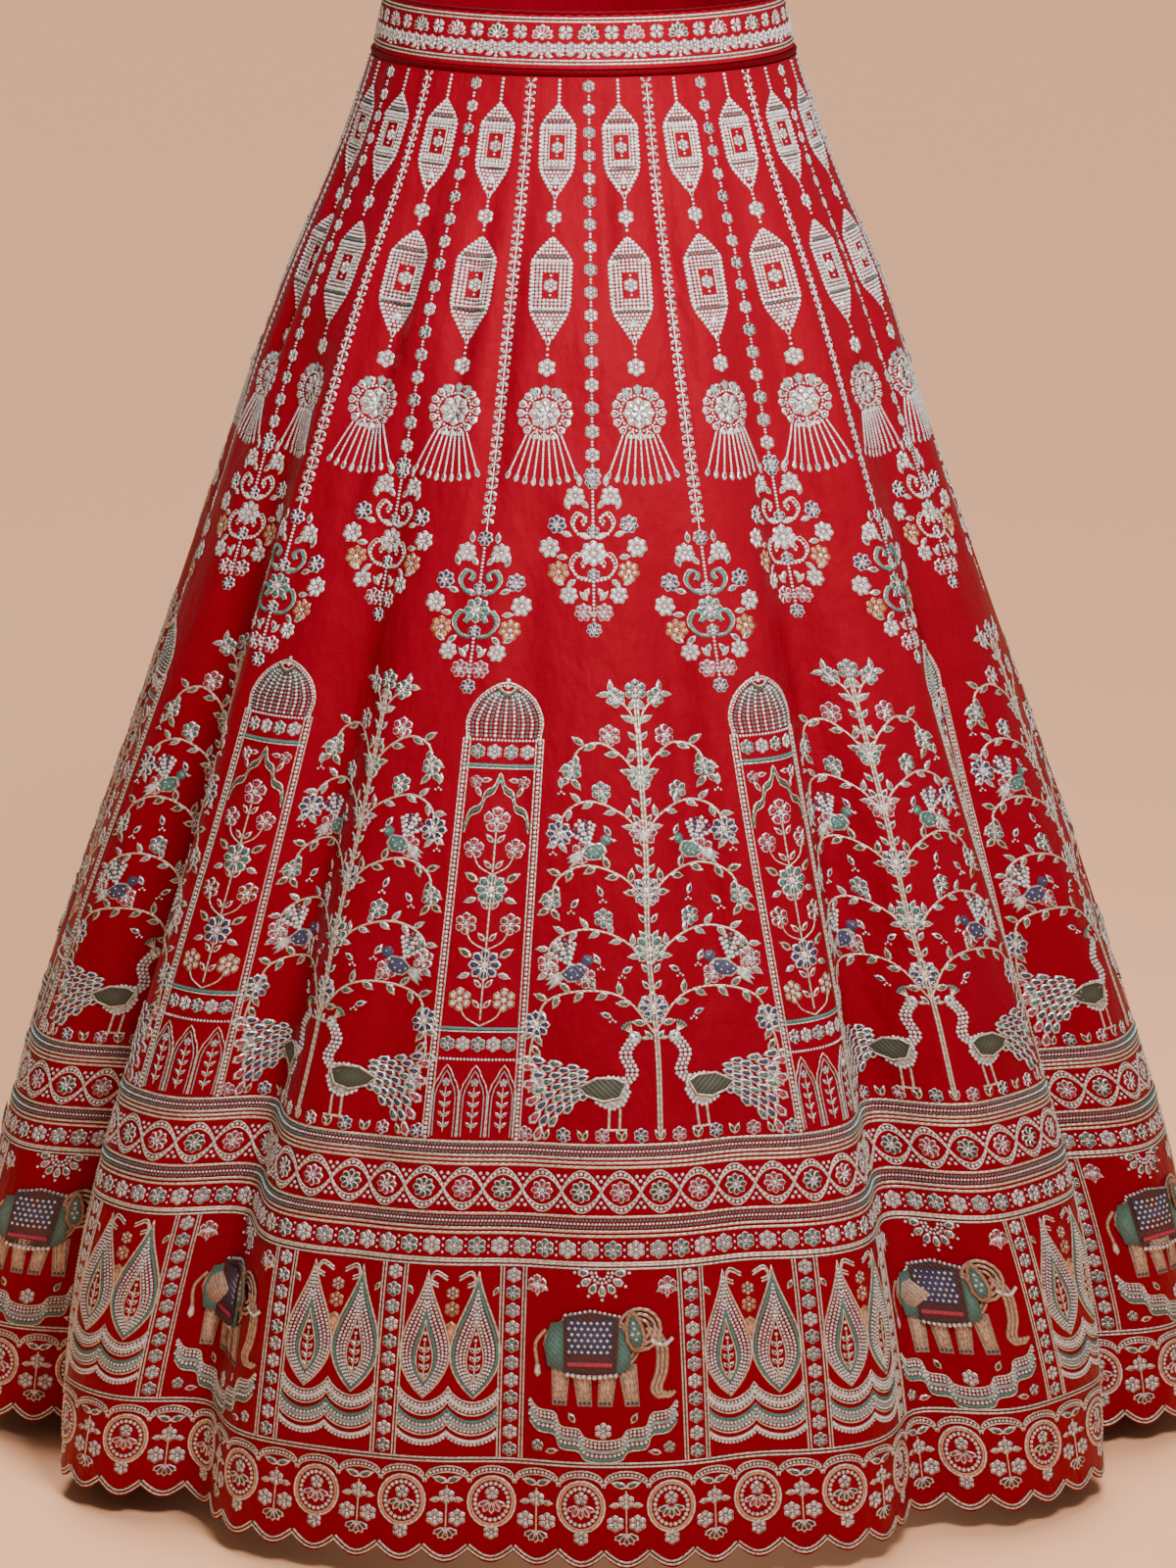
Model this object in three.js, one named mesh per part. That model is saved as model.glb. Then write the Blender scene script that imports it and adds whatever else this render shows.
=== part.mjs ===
// Lehenga skirt of eleven flared panels (kalis) with a scalloped border and a waistband.
// Millimetres, +Z up, the front faces -Y. The origin is the middle of the waist opening,
// level with the band's upper edge at the sides.
import * as THREE from 'three';

// ---- Driving sizes ----
const PANELS = 11; // kalis around the skirt
const COLUMNS = 10; // mesh columns in one kali, and scallops in one border panel
const SCALLOP_STEPS = 4; // mesh columns in one scallop
const CLOTH = 2.0; // silk, its lining and the stiffening net between them
const BAND_CLOTH = 2.6; // the waistband is folded double
const SEAM_GAP = 0.3; // clearance where two pieces are sewn
const BAND_LENGTH = 39; // along the slope, from the upper edge
const PIPING_RADIUS = 2.4;
const BORDER_TOP = 790; // along the slope, where the border is sewn to the kalis
const SCALLOP_DEPTH = 9;
const WAIST_DIP = 10; // the front of the waist sits lower than its sides
const FRONT_LINE = 0.004; // turn of the pattern's middle line from the front, in whole turns
const KALI_SEAM = -5; // columns from the pattern's middle line to a kali's first seam
const BORDER_SEAM = -2; // the same for a border panel's first seam
const KALI_ROWS = 9;
const BORDER_ROWS = 4; // above the scallops
const BAND_COLUMNS = 20; // in each half of the waistband
const PIPING_SIDES = 5;
const RING_SAMPLES = 1440;

// Horizontal sections: drop below the waist, then half the width and the reach to front and back.
const SECTIONS = [
  { drop: 0, halfWidth: 141, front: 113, back: 117 },
  { drop: 40, halfWidth: 149, front: 121, back: 126 },
  { drop: 110, halfWidth: 173, front: 146, back: 152 },
  { drop: 206, halfWidth: 214, front: 186, back: 194 },
  { drop: 360, halfWidth: 271, front: 239, back: 247 },
  { drop: 515, halfWidth: 327, front: 291, back: 299 },
  { drop: 670, halfWidth: 384, front: 340, back: 349 },
  { drop: 824, halfWidth: 435, front: 384, back: 394 },
  { drop: 927, halfWidth: 454, front: 399, back: 409 },
  { drop: 1030, halfWidth: 461, front: 405, back: 414 },
];

// Folds: the angle from the front at the waist and at the hem, the full depth, the spread to
// each side in degrees, the share of the slope where it begins, and how much of it the stiff
// border presses out again.
const FOLDS = [
  { waist: -27, hem: -40, depth: 70, spread: 5.2, start: 0.22, pressed: 0.45 },
  { waist: 31, hem: 34, depth: 74, spread: 5.0, start: 0.12, pressed: 0.45 },
  { waist: -55, hem: -64, depth: 88, spread: 5.8, start: 0.2, pressed: 0.1 },
  { waist: 56, hem: 63, depth: 80, spread: 5.6, start: 0.24, pressed: 0.1 },
  { waist: -83, hem: -90, depth: 78, spread: 5.6, start: 0.26, pressed: 0 },
  { waist: 85, hem: 91, depth: 90, spread: 6.0, start: 0.22, pressed: 0 },
  { waist: -109, hem: -114, depth: 98, spread: 6.0, start: 0.18, pressed: 0 },
  { waist: 112, hem: 117, depth: 86, spread: 5.6, start: 0.24, pressed: 0 },
  { waist: -136, hem: -138, depth: 88, spread: 5.8, start: 0.22, pressed: 0 },
  { waist: 139, hem: 143, depth: 98, spread: 6.0, start: 0.18, pressed: 0 },
  { waist: -163, hem: -163, depth: 94, spread: 5.8, start: 0.2, pressed: 0 },
  { waist: 168, hem: 169, depth: 82, spread: 5.6, start: 0.26, pressed: 0 },
  { waist: -3, hem: -7, depth: 9, spread: 5.0, start: 0.3, pressed: 0 },
  { waist: 14, hem: 15, depth: 12, spread: 4.5, start: 0.35, pressed: 0.3 },
];
const PRESS_START = 0.7; // share of the slope where the border's stiffness is first felt

const COLOURS = {
  silk: { color: 0xb3121c, roughness: 0.5 },
  border: { color: 0xa8131c, roughness: 0.55 },
  band: { color: 0xb99a86, roughness: 0.6 },
  piping: { color: 0x7d0d16, roughness: 0.5 },
};

// ---- The skirt's surface ----
const radians = THREE.MathUtils.degToRad;

/** A smooth curve through the sections: the value of one column at a drop. */
function sectionValue(column, drop) {
  const last = SECTIONS.length - 1;
  let i = 0;
  while (i < last - 1 && SECTIONS[i + 1].drop < drop) i += 1;
  const slope = (k) => {
    const a = SECTIONS[Math.max(k - 1, 0)];
    const b = SECTIONS[Math.min(k + 1, last)];
    return (b[column] - a[column]) / (b.drop - a.drop);
  };
  const lower = SECTIONS[i];
  const upper = SECTIONS[i + 1];
  const step = upper.drop - lower.drop;
  const t = THREE.MathUtils.clamp((drop - lower.drop) / step, 0, 1);
  const [t2, t3] = [t * t, t * t * t];
  return (2 * t3 - 3 * t2 + 1) * lower[column] + (t3 - 2 * t2 + t) * step * slope(i)
    + (3 * t2 - 2 * t3) * upper[column] + (t3 - t2) * step * slope(i + 1);
}

const FULL_DROP = SECTIONS[SECTIONS.length - 1].drop;
const SLOPE_STEPS = 206;

/** Lengths down the slope at even drops, measured on the mean radius. */
function slopeTable() {
  const rows = [{ drop: 0, length: 0 }];
  const radius = (d) => (2 * sectionValue('halfWidth', d) + sectionValue('front', d)
    + sectionValue('back', d)) / 4;
  for (let i = 1; i <= SLOPE_STEPS; i += 1) {
    const drop = (FULL_DROP * i) / SLOPE_STEPS;
    const before = rows[i - 1];
    const run = radius(drop) - radius(before.drop);
    rows.push({ drop, length: before.length + Math.hypot(drop - before.drop, run) });
  }
  return rows;
}

const SLOPE = slopeTable();
const HEM = SLOPE[SLOPE_STEPS].length; // scallop tips, along the slope

/** The drop at a length down the slope. */
function dropAt(length) {
  let i = 1;
  while (i < SLOPE_STEPS && SLOPE[i].length < length) i += 1;
  const [a, b] = [SLOPE[i - 1], SLOPE[i]];
  return a.drop + ((length - a.length) / (b.length - a.length)) * (b.drop - a.drop);
}

/** How far the folds pull the cloth in, at an angle and a share of the slope. */
function foldDepth(angle, share) {
  let depth = 0;
  for (const fold of FOLDS) {
    const grown = THREE.MathUtils.clamp((share - fold.start) / (1 - fold.start), 0, 1);
    const pressed = fold.pressed * THREE.MathUtils.smoothstep(share, PRESS_START, 1);
    const middle = radians(fold.waist + (fold.hem - fold.waist) * share);
    const away = THREE.MathUtils.euclideanModulo(angle - middle + Math.PI, 2 * Math.PI) - Math.PI;
    const across = Math.exp(-((away / radians(fold.spread)) ** 2));
    depth += fold.depth * grown * (1 - pressed) * across;
  }
  return depth;
}

/** One ring of the cloth at a length down the slope: points and how far round each one is. */
function makeRing(length) {
  const drop = dropAt(length);
  const share = length / HEM;
  const halfWidth = sectionValue('halfWidth', drop);
  const reach = { front: sectionValue('front', drop), back: sectionValue('back', drop) };
  const points = [];
  const around = [0];
  for (let i = 0; i <= RING_SAMPLES; i += 1) {
    const angle = (i / RING_SAMPLES) * 2 * Math.PI;
    const [sine, cosine] = [Math.sin(angle), Math.cos(angle)];
    const pull = foldDepth(angle, share);
    const depth = cosine > 0 ? reach.front : reach.back;
    const dip = WAIST_DIP * (0.5 + 0.5 * cosine) * (1 - share) ** 2;
    points.push(new THREE.Vector3((halfWidth - pull) * sine, -(depth - pull) * cosine, -drop - dip));
    if (i > 0) around.push(around[i - 1] + points[i].distanceTo(points[i - 1]));
  }
  return { points, around, total: around[RING_SAMPLES] };
}

const rings = new Map();

/** The point of the cloth's face at a turn (1 is all the way round) and a length down. */
function surfacePoint(turn, length) {
  if (!rings.has(length)) rings.set(length, makeRing(length));
  const ring = rings.get(length);
  const wanted = THREE.MathUtils.euclideanModulo(turn, 1) * ring.total;
  let [low, high] = [0, RING_SAMPLES];
  while (high - low > 1) {
    const middle = (low + high) >> 1;
    if (ring.around[middle] > wanted) high = middle;
    else low = middle;
  }
  const t = (wanted - ring.around[low]) / (ring.around[high] - ring.around[low]);
  return ring.points[low].clone().lerp(ring.points[high], t);
}

const TURN_PROBE = 0.0012;
const LENGTH_PROBE = 3;

/** The outward direction of the cloth's face. */
function surfaceNormal(turn, length) {
  const across = surfacePoint(turn + TURN_PROBE, length).sub(surfacePoint(turn - TURN_PROBE, length));
  const upper = Math.max(length - LENGTH_PROBE, 0);
  const lower = Math.min(length + LENGTH_PROBE, HEM);
  const down = surfacePoint(turn, lower).sub(surfacePoint(turn, upper));
  return down.cross(across).normalize();
}

// ---- Solids from grids of surface points ----

/** Collects outer and inner points and triangles of one wall of cloth. */
class Wall {
  constructor(thickness) {
    this.thickness = thickness;
    this.positions = [];
    this.index = [];
  }

  /** Adds a point of the face and the one behind it, and returns the pair's number. */
  addPoint(turn, length) {
    const outer = surfacePoint(turn, length);
    const inner = outer.clone().addScaledVector(surfaceNormal(turn, length), -this.thickness);
    this.positions.push(outer.x, outer.y, outer.z, inner.x, inner.y, inner.z);
    return this.positions.length / 6 - 1;
  }

  /** One triangle of the face, and its twin behind, turned the other way. */
  addTriangle(a, b, c) {
    this.index.push(2 * a, 2 * b, 2 * c, 2 * c + 1, 2 * b + 1, 2 * a + 1);
  }

  /** The strip between an upper row and a lower row with a whole number of steps to each of its own. */
  addStrip(upper, lower) {
    const steps = (lower.length - 1) / (upper.length - 1);
    for (let i = 0; i < upper.length - 1; i += 1) {
      const middle = i * steps + Math.floor(steps / 2);
      for (let k = i * steps; k < (i + 1) * steps; k += 1) {
        this.addTriangle(k < middle ? upper[i] : upper[i + 1], lower[k], lower[k + 1]);
      }
      this.addTriangle(upper[i], lower[middle], upper[i + 1]);
    }
  }

  /** Closes the wall's thickness along a run of points with the cloth on its left. */
  closeEdge(run) {
    for (let i = 0; i < run.length - 1; i += 1) {
      const [a, b] = [run[i], run[i + 1]];
      this.index.push(2 * b, 2 * a, 2 * a + 1, 2 * b, 2 * a + 1, 2 * b + 1);
    }
  }

  /** The closed geometry of rows of points, top row first. */
  close(rows) {
    for (let i = 0; i < rows.length - 1; i += 1) this.addStrip(rows[i], rows[i + 1]);
    const left = rows.map((row) => row[0]);
    const right = rows.map((row) => row[row.length - 1]).reverse();
    const bottom = rows[rows.length - 1];
    const top = [...rows[0]].reverse();
    this.closeEdge([...left, ...bottom.slice(1), ...right.slice(1), ...top.slice(1)]);
    const geometry = new THREE.BufferGeometry();
    geometry.setAttribute('position', new THREE.Float32BufferAttribute(this.positions, 3));
    geometry.setIndex(this.index);
    geometry.computeVertexNormals();
    return geometry;
  }
}

/** Turns of the columns of a piece, drawn in from its seams by half the seam gap. */
function columnTurns(first, columns, panelTurn, length) {
  surfacePoint(0, length);
  const inset = SEAM_GAP / 2 / rings.get(length).total;
  return Array.from({ length: columns + 1 }, (_, i) => {
    const turn = first + (panelTurn * i) / columns;
    return turn + (i === 0 ? inset : 0) - (i === columns ? inset : 0);
  });
}

/** A panel from a list of rows: where each lies down the slope, or a function of the column. */
function panelGeometry(first, panelTurn, thickness, rowSpecs) {
  const wall = new Wall(thickness);
  const rows = rowSpecs.map(({ length, columns, lengthAt }) => {
    const turns = columnTurns(first, columns, panelTurn, length);
    return turns.map((turn, i) => wall.addPoint(turn, lengthAt ? lengthAt(i) : length));
  });
  return wall.close(rows);
}

/** Even rows of a panel between two lengths down the slope. */
function evenRows(top, bottom, count, columns) {
  return Array.from({ length: count + 1 }, (_, i) => (
    { length: top + ((bottom - top) * i) / count, columns }));
}

// ---- Pieces ----
const KALI_TOP = BAND_LENGTH + 2 * PIPING_RADIUS + 3 * SEAM_GAP;
const PANEL_TURN = 1 / PANELS;
const COLUMN_TURN = PANEL_TURN / COLUMNS;

/** A tapered panel from under the piping to the border. */
function kaliGeometry(number) {
  const first = FRONT_LINE + KALI_SEAM * COLUMN_TURN + number * PANEL_TURN;
  const rows = evenRows(KALI_TOP, BORDER_TOP - SEAM_GAP, KALI_ROWS, COLUMNS);
  return panelGeometry(first, PANEL_TURN, CLOTH, rows);
}

/** A border panel, whose lower edge is a row of round scallops. */
function borderGeometry(number) {
  const first = FRONT_LINE + BORDER_SEAM * COLUMN_TURN + number * PANEL_TURN;
  const notches = HEM - SCALLOP_DEPTH;
  const rows = evenRows(BORDER_TOP, notches - SCALLOP_DEPTH, BORDER_ROWS, COLUMNS);
  const scallop = (i) => {
    const across = (i % SCALLOP_STEPS) / SCALLOP_STEPS;
    return notches + SCALLOP_DEPTH * Math.sin(Math.PI * across);
  };
  rows.push({ length: notches, columns: COLUMNS * SCALLOP_STEPS, lengthAt: scallop });
  return panelGeometry(first, PANEL_TURN, CLOTH, rows);
}

/** Half of the waistband, between the side seams. */
function bandGeometry(first) {
  return panelGeometry(first, 0.5, BAND_CLOTH, evenRows(0, BAND_LENGTH, 1, BAND_COLUMNS));
}

/** Half of the cord piping between the band and the panels: a ring of small tubes with flat ends. */
function pipingGeometry(first) {
  const length = BAND_LENGTH + PIPING_RADIUS + SEAM_GAP * 1.5;
  const turns = columnTurns(first, BAND_COLUMNS, 0.5, length);
  const positions = [];
  const index = [];
  turns.forEach((turn) => {
    const normal = surfaceNormal(turn, length);
    const centre = surfacePoint(turn, length).addScaledVector(normal, -CLOTH / 2);
    const down = surfacePoint(turn, length + LENGTH_PROBE).sub(surfacePoint(turn, length)).normalize();
    for (let k = 0; k < PIPING_SIDES; k += 1) {
      const angle = (k / PIPING_SIDES) * 2 * Math.PI;
      const point = centre.clone().addScaledVector(normal, PIPING_RADIUS * Math.cos(angle))
        .addScaledVector(down, PIPING_RADIUS * Math.sin(angle));
      positions.push(point.x, point.y, point.z);
    }
  });
  for (let i = 0; i < BAND_COLUMNS; i += 1) {
    for (let k = 0; k < PIPING_SIDES; k += 1) {
      const [a, b] = [i * PIPING_SIDES + k, i * PIPING_SIDES + ((k + 1) % PIPING_SIDES)];
      const [c, d] = [a + PIPING_SIDES, b + PIPING_SIDES];
      index.push(a, b, c, b, d, c);
    }
  }
  const end = BAND_COLUMNS * PIPING_SIDES;
  for (let k = 1; k < PIPING_SIDES - 1; k += 1) {
    index.push(0, k + 1, k, end, end + k, end + k + 1);
  }
  const geometry = new THREE.BufferGeometry();
  geometry.setAttribute('position', new THREE.Float32BufferAttribute(positions, 3));
  geometry.setIndex(index);
  geometry.computeVertexNormals();
  return geometry;
}

// ---- Assembly ----
const skirt = new THREE.Group();

/** Adds one named piece with a finish of its own. */
function addPiece(name, geometry, colour) {
  const material = new THREE.MeshStandardMaterial({ metalness: 0, ...colour });
  const mesh = new THREE.Mesh(geometry, material);
  mesh.name = name;
  skirt.add(mesh);
}

const HALVES = [
  { side: 'front', first: -0.25 },
  { side: 'back', first: 0.25 },
];
for (const { side, first } of HALVES) {
  addPiece(`waistband_${side}`, bandGeometry(first), COLOURS.band);
  addPiece(`waist_piping_${side}`, pipingGeometry(first), COLOURS.piping);
}
for (let i = 0; i < PANELS; i += 1) {
  const number = String(i + 1).padStart(2, '0');
  addPiece(`kali_${number}`, kaliGeometry(i), COLOURS.silk);
  addPiece(`border_${number}`, borderGeometry(i), COLOURS.border);
}

export default skirt;
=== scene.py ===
"""Looks of the lehenga skirt: red silk kalis, a deep border and beaded embroidery."""
import logging
import math
from dataclasses import dataclass
from enum import Enum

import bpy
import numpy as np
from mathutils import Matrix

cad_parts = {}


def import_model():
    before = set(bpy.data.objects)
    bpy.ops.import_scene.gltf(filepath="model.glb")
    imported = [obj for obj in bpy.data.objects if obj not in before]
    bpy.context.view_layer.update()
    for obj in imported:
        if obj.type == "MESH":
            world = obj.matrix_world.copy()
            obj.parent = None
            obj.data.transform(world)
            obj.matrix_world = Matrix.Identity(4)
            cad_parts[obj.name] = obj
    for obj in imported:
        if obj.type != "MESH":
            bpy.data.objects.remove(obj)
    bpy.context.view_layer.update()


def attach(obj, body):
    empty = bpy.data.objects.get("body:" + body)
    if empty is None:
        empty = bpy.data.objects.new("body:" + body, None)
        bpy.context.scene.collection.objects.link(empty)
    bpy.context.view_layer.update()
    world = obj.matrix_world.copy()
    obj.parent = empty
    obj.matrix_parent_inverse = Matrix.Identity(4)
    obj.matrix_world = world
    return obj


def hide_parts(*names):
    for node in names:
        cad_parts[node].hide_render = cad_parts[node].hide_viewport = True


logging.basicConfig(level=logging.INFO, format="%(name)s: %(message)s")
log = logging.getLogger("lehenga")

MM = 0.001
ROOT = "root"

# ---- Sizes shared with the frame, in millimetres ----
PANELS = 11  # kalis, border panels and repeats of the pattern
BAND_LENGTH = 39.0
PIPING_RADIUS = 2.4
SEAM_GAP = 0.3
BORDER_TOP = 790.0
SCALLOPS = 10  # in each border panel
SCALLOP_DEPTH = 9.0
WAIST_DIP = 10.0
FRONT_LINE = 0.004  # turn of the pattern's middle line from the front
KALI_SEAM = -0.5  # shares of a repeat from the middle line to a seam
BORDER_SEAM = -0.2
FULL_DROP = 1030.0
CLOTH = 2.0
BAND_CLOTH = 2.6
EDGE_PAINTED_SHADE = 0.34  # painted shade: how dark a stitch is painted where it meets the cloth
FULL_SLOPE = 1080.05  # from the waist to the tips of the scallops, down the slope

# Horizontal sections: drop below the waist, half the width, reach to front and to back.
SECTIONS = np.array([
    (0, 141, 113, 117),
    (40, 149, 121, 126),
    (110, 173, 146, 152),
    (206, 214, 186, 194),
    (360, 271, 239, 247),
    (515, 327, 291, 299),
    (670, 384, 340, 349),
    (824, 435, 384, 394),
    (927, 454, 399, 409),
    (1030, 461, 405, 414),
], dtype=float)


@dataclass(frozen=True)
class Fold:
    """A large fold: its angles at waist and hem, depth, spread, start and how far it is pressed out."""

    waist: float
    hem: float
    depth: float
    spread: float
    start: float
    pressed: float = 0.0


FOLDS = (
    Fold(-27, -40, 70, 5.2, 0.22, 0.45),
    Fold(31, 34, 74, 5.0, 0.12, 0.45),
    Fold(-55, -64, 88, 5.8, 0.2, 0.1),
    Fold(56, 63, 80, 5.6, 0.24, 0.1),
    Fold(-83, -90, 78, 5.6, 0.26),
    Fold(85, 91, 90, 6.0, 0.22),
    Fold(-109, -114, 98, 6.0, 0.18),
    Fold(112, 117, 86, 5.6, 0.24),
    Fold(-136, -138, 88, 5.8, 0.22),
    Fold(139, 143, 98, 6.0, 0.18),
    Fold(-163, -163, 94, 5.8, 0.2),
    Fold(168, 169, 82, 5.6, 0.26),
    Fold(-3, -7, 9, 5.0, 0.3),
    Fold(14, 15, 12, 4.5, 0.35, 0.3),
)
PRESS_START = 0.7


@dataclass(frozen=True)
class Crease:
    """A soft trough (or ridge, with a negative depth) pressed into the cloth between the folds.

    The turn is its place round the skirt, start and end lie down the slope, and drift is how far
    it wanders sideways on its way down. Lengths are in millimetres.
    """

    turn: float
    start: float
    end: float
    depth: float
    spread: float
    drift: float = 0.0


CREASES = (
    Crease(-0.036, 60, 420, 6.5, 9, -14),
    Crease(-0.016, 250, 700, 5.3, 14, -20),
    Crease(0.012, 52, 260, 4.1, 8, 4),
    Crease(0.030, 300, 760, 8.9, 15, 16),
    Crease(0.048, 55, 330, 6.1, 9, 10),
    Crease(0.058, 480, 900, 7.3, 16, 8),
    Crease(-0.060, 60, 360, 6.9, 9, -10),
    Crease(-0.048, 520, 980, 6.1, 18, -16),
    Crease(-0.100, 70, 420, 7.3, 10, -18),
    Crease(0.104, 60, 500, 7.7, 11, 18),
    Crease(0.128, 90, 620, -6.1, 14, 22),
    Crease(-0.130, 80, 640, -6.5, 13, -20),
    Crease(-0.196, 60, 380, 6.9, 10, -12),
    Crease(0.190, 60, 460, 6.1, 10, 12),
    Crease(0.262, 70, 560, 7.3, 12, 10),
    Crease(-0.268, 60, 480, 6.5, 11, -8),
    Crease(0.340, 80, 620, 7.7, 13, 6),
    Crease(-0.336, 60, 420, 6.1, 10, -10),
    Crease(0.412, 60, 540, 6.9, 12, -8),
    Crease(-0.418, 90, 600, 7.3, 12, 8),
    Crease(0.476, 60, 480, 6.1, 10, 8),
    Crease(-0.474, 300, 860, 6.9, 15, 6),
)


def smooth(curve: str, drop: np.ndarray) -> np.ndarray:
    """A smooth curve through one column of the sections.

    Args:
        curve: "width", "front" or "back".
        drop: drops below the waist.

    Returns:
        The column's value at each drop.
    """
    values = SECTIONS[:, {"width": 1, "front": 2, "back": 3}[curve]]
    drops = SECTIONS[:, 0]
    last = len(drops) - 1
    below = np.maximum(np.arange(last + 1) - 1, 0)
    above = np.minimum(np.arange(last + 1) + 1, last)
    slopes = (values[above] - values[below]) / (drops[above] - drops[below])
    i = np.clip(np.searchsorted(drops, drop, side="right") - 1, 0, last - 1)
    step = drops[i + 1] - drops[i]
    t = np.clip((drop - drops[i]) / step, 0, 1)
    first = (2 * t**3 - 3 * t**2 + 1) * values[i] + (t**3 - 2 * t**2 + t) * step * slopes[i]
    second = (3 * t**2 - 2 * t**3) * values[i + 1] + (t**3 - t**2) * step * slopes[i + 1]
    return first + second


class SkirtForm:
    """The face of the cloth: a grid of points by turn and by length down the slope."""

    columns = 40  # in each repeat
    row_count = 90
    ring_samples = 2880
    slope_steps = 206

    def __init__(self) -> None:
        """Works the grid out from the sections, the folds and the creases."""
        drops = np.linspace(0, FULL_DROP, self.slope_steps + 1)
        radius = (2 * smooth("width", drops) + smooth("front", drops) + smooth("back", drops)) / 4
        steps = np.hypot(np.diff(drops), np.diff(radius))
        self.slope_drops = drops
        self.slope_lengths = np.concatenate([[0], np.cumsum(steps)])
        self.hem = float(self.slope_lengths[-1])
        self.first_turn = FRONT_LINE + KALI_SEAM / PANELS
        self.total_columns = self.columns * PANELS
        self.lengths = np.linspace(0, self.hem, self.row_count + 1)
        self.turns = self.first_turn + np.arange(self.total_columns) / self.total_columns
        rings = [self.ring(length) for length in self.lengths]
        self.perimeters = np.array([total for _, total in rings])
        self.points = np.array([points for points, _ in rings])
        self.normals = self.find_normals()
        self.points = self.points - self.normals * self.crease_depth()[..., None]
        self.normals = self.find_normals()

    def ring(self, length: float) -> tuple[np.ndarray, float]:
        """One ring of the grid.

        Args:
            length: how far down the slope it lies.

        Returns:
            Its points at the grid's turns, and its length all the way round.
        """
        drop = np.interp(length, self.slope_lengths, self.slope_drops)
        share = length / self.hem
        angle = np.linspace(0, 2 * np.pi, self.ring_samples + 1)
        pull = np.zeros_like(angle)
        for fold in FOLDS:
            grown = np.clip((share - fold.start) / (1 - fold.start), 0, 1)
            t = np.clip((share - PRESS_START) / (1 - PRESS_START), 0, 1)
            pressed = fold.pressed * t * t * (3 - 2 * t)
            middle = math.radians(fold.waist + (fold.hem - fold.waist) * share)
            away = (angle - middle + np.pi) % (2 * np.pi) - np.pi
            across = np.exp(-((away / math.radians(fold.spread)) ** 2))
            pull += fold.depth * grown * (1 - pressed) * across
        reach = np.where(np.cos(angle) > 0, smooth("front", drop), smooth("back", drop))
        x = (smooth("width", drop) - pull) * np.sin(angle)
        y = -(reach - pull) * np.cos(angle)
        z = -drop - WAIST_DIP * (0.5 + 0.5 * np.cos(angle)) * (1 - share) ** 2
        points = np.stack([x, y, z], 1)
        around = np.linalg.norm(np.diff(points, axis=0), axis=1)
        around = np.concatenate([[0], np.cumsum(around)])
        wanted = (self.turns % 1.0) * around[-1]
        found = [np.interp(wanted, around, points[:, k]) for k in range(3)]
        return np.stack(found, 1), float(around[-1])

    def find_normals(self) -> np.ndarray:
        """The outward direction at each point of the grid."""
        across = np.roll(self.points, -1, axis=1) - np.roll(self.points, 1, axis=1)
        down = np.gradient(self.points, axis=0)
        normals = np.cross(down, across)
        return normals / np.linalg.norm(normals, axis=2, keepdims=True)

    def crease_depth(self) -> np.ndarray:
        """How far the creases press each point of the grid in."""
        depth = np.zeros(self.points.shape[:2])
        for crease in CREASES:
            t = (self.lengths - crease.start) / (crease.end - crease.start)
            strength = np.where((t > 0) & (t < 1), np.sin(np.pi * np.clip(t, 0, 1)) ** 1.4, 0)
            away = (self.turns[None, :] - crease.turn + 0.5) % 1.0 - 0.5
            away = away * self.perimeters[:, None] - crease.drift * np.clip(t, 0, 1)[:, None]
            depth += crease.depth * strength[:, None] * np.exp(-((away / crease.spread) ** 2))
        return depth

    def repeat_width(self, length: np.ndarray) -> np.ndarray:
        """The width of one repeat of the pattern, lengths down the slope."""
        return np.interp(length, self.lengths, self.perimeters) / PANELS

    def place(self, turn: np.ndarray, length: np.ndarray, rise: np.ndarray) -> np.ndarray:
        """Points on the cloth, moved out along its normal.

        Args:
            turn: turns round the skirt.
            length: lengths down the slope.
            rise: heights above the face.

        Returns:
            The points, in metres.
        """
        column = ((turn - self.first_turn) * self.total_columns) % self.total_columns
        row = length / self.hem * self.row_count
        i = np.floor(column).astype(int) % self.total_columns
        k = np.clip(np.floor(row).astype(int), 0, self.row_count - 1)
        fx = (column - np.floor(column))[:, None]
        fy = (row - k)[:, None]
        j = (i + 1) % self.total_columns

        def blend(grid: np.ndarray) -> np.ndarray:
            """The grid's values between its four nearest points."""
            upper = grid[k, i] * (1 - fx) + grid[k, j] * fx
            lower = grid[k + 1, i] * (1 - fx) + grid[k + 1, j] * fx
            return upper * (1 - fy) + lower * fy

        normals = blend(self.normals)
        normals /= np.linalg.norm(normals, axis=1, keepdims=True)
        return (blend(self.points) + normals * rise[:, None]) * MM


# ---- Meshes from arrays ----
def mesh_object(name: str, points: np.ndarray, triangles: np.ndarray) -> bpy.types.Object:
    """Makes a smooth-shaded object of triangles at the origin.

    Args:
        name: the piece's name.
        points: its vertices, in metres.
        triangles: three vertex numbers in each row.

    Returns:
        The new object, in the scene.
    """
    mesh = bpy.data.meshes.new(name)
    mesh.vertices.add(len(points))
    mesh.vertices.foreach_set("co", points.astype(np.float32).ravel())
    mesh.loops.add(triangles.size)
    mesh.loops.foreach_set("vertex_index", triangles.astype(np.int32).ravel())
    mesh.polygons.add(len(triangles))
    mesh.polygons.foreach_set("loop_start", np.arange(len(triangles), dtype=np.int32) * 3)
    mesh.polygons.foreach_set("use_smooth", np.ones(len(triangles), dtype=bool))
    mesh.update(calc_edges=True)
    piece = bpy.data.objects.new(name, mesh)
    bpy.context.scene.collection.objects.link(piece)
    return piece


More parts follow.
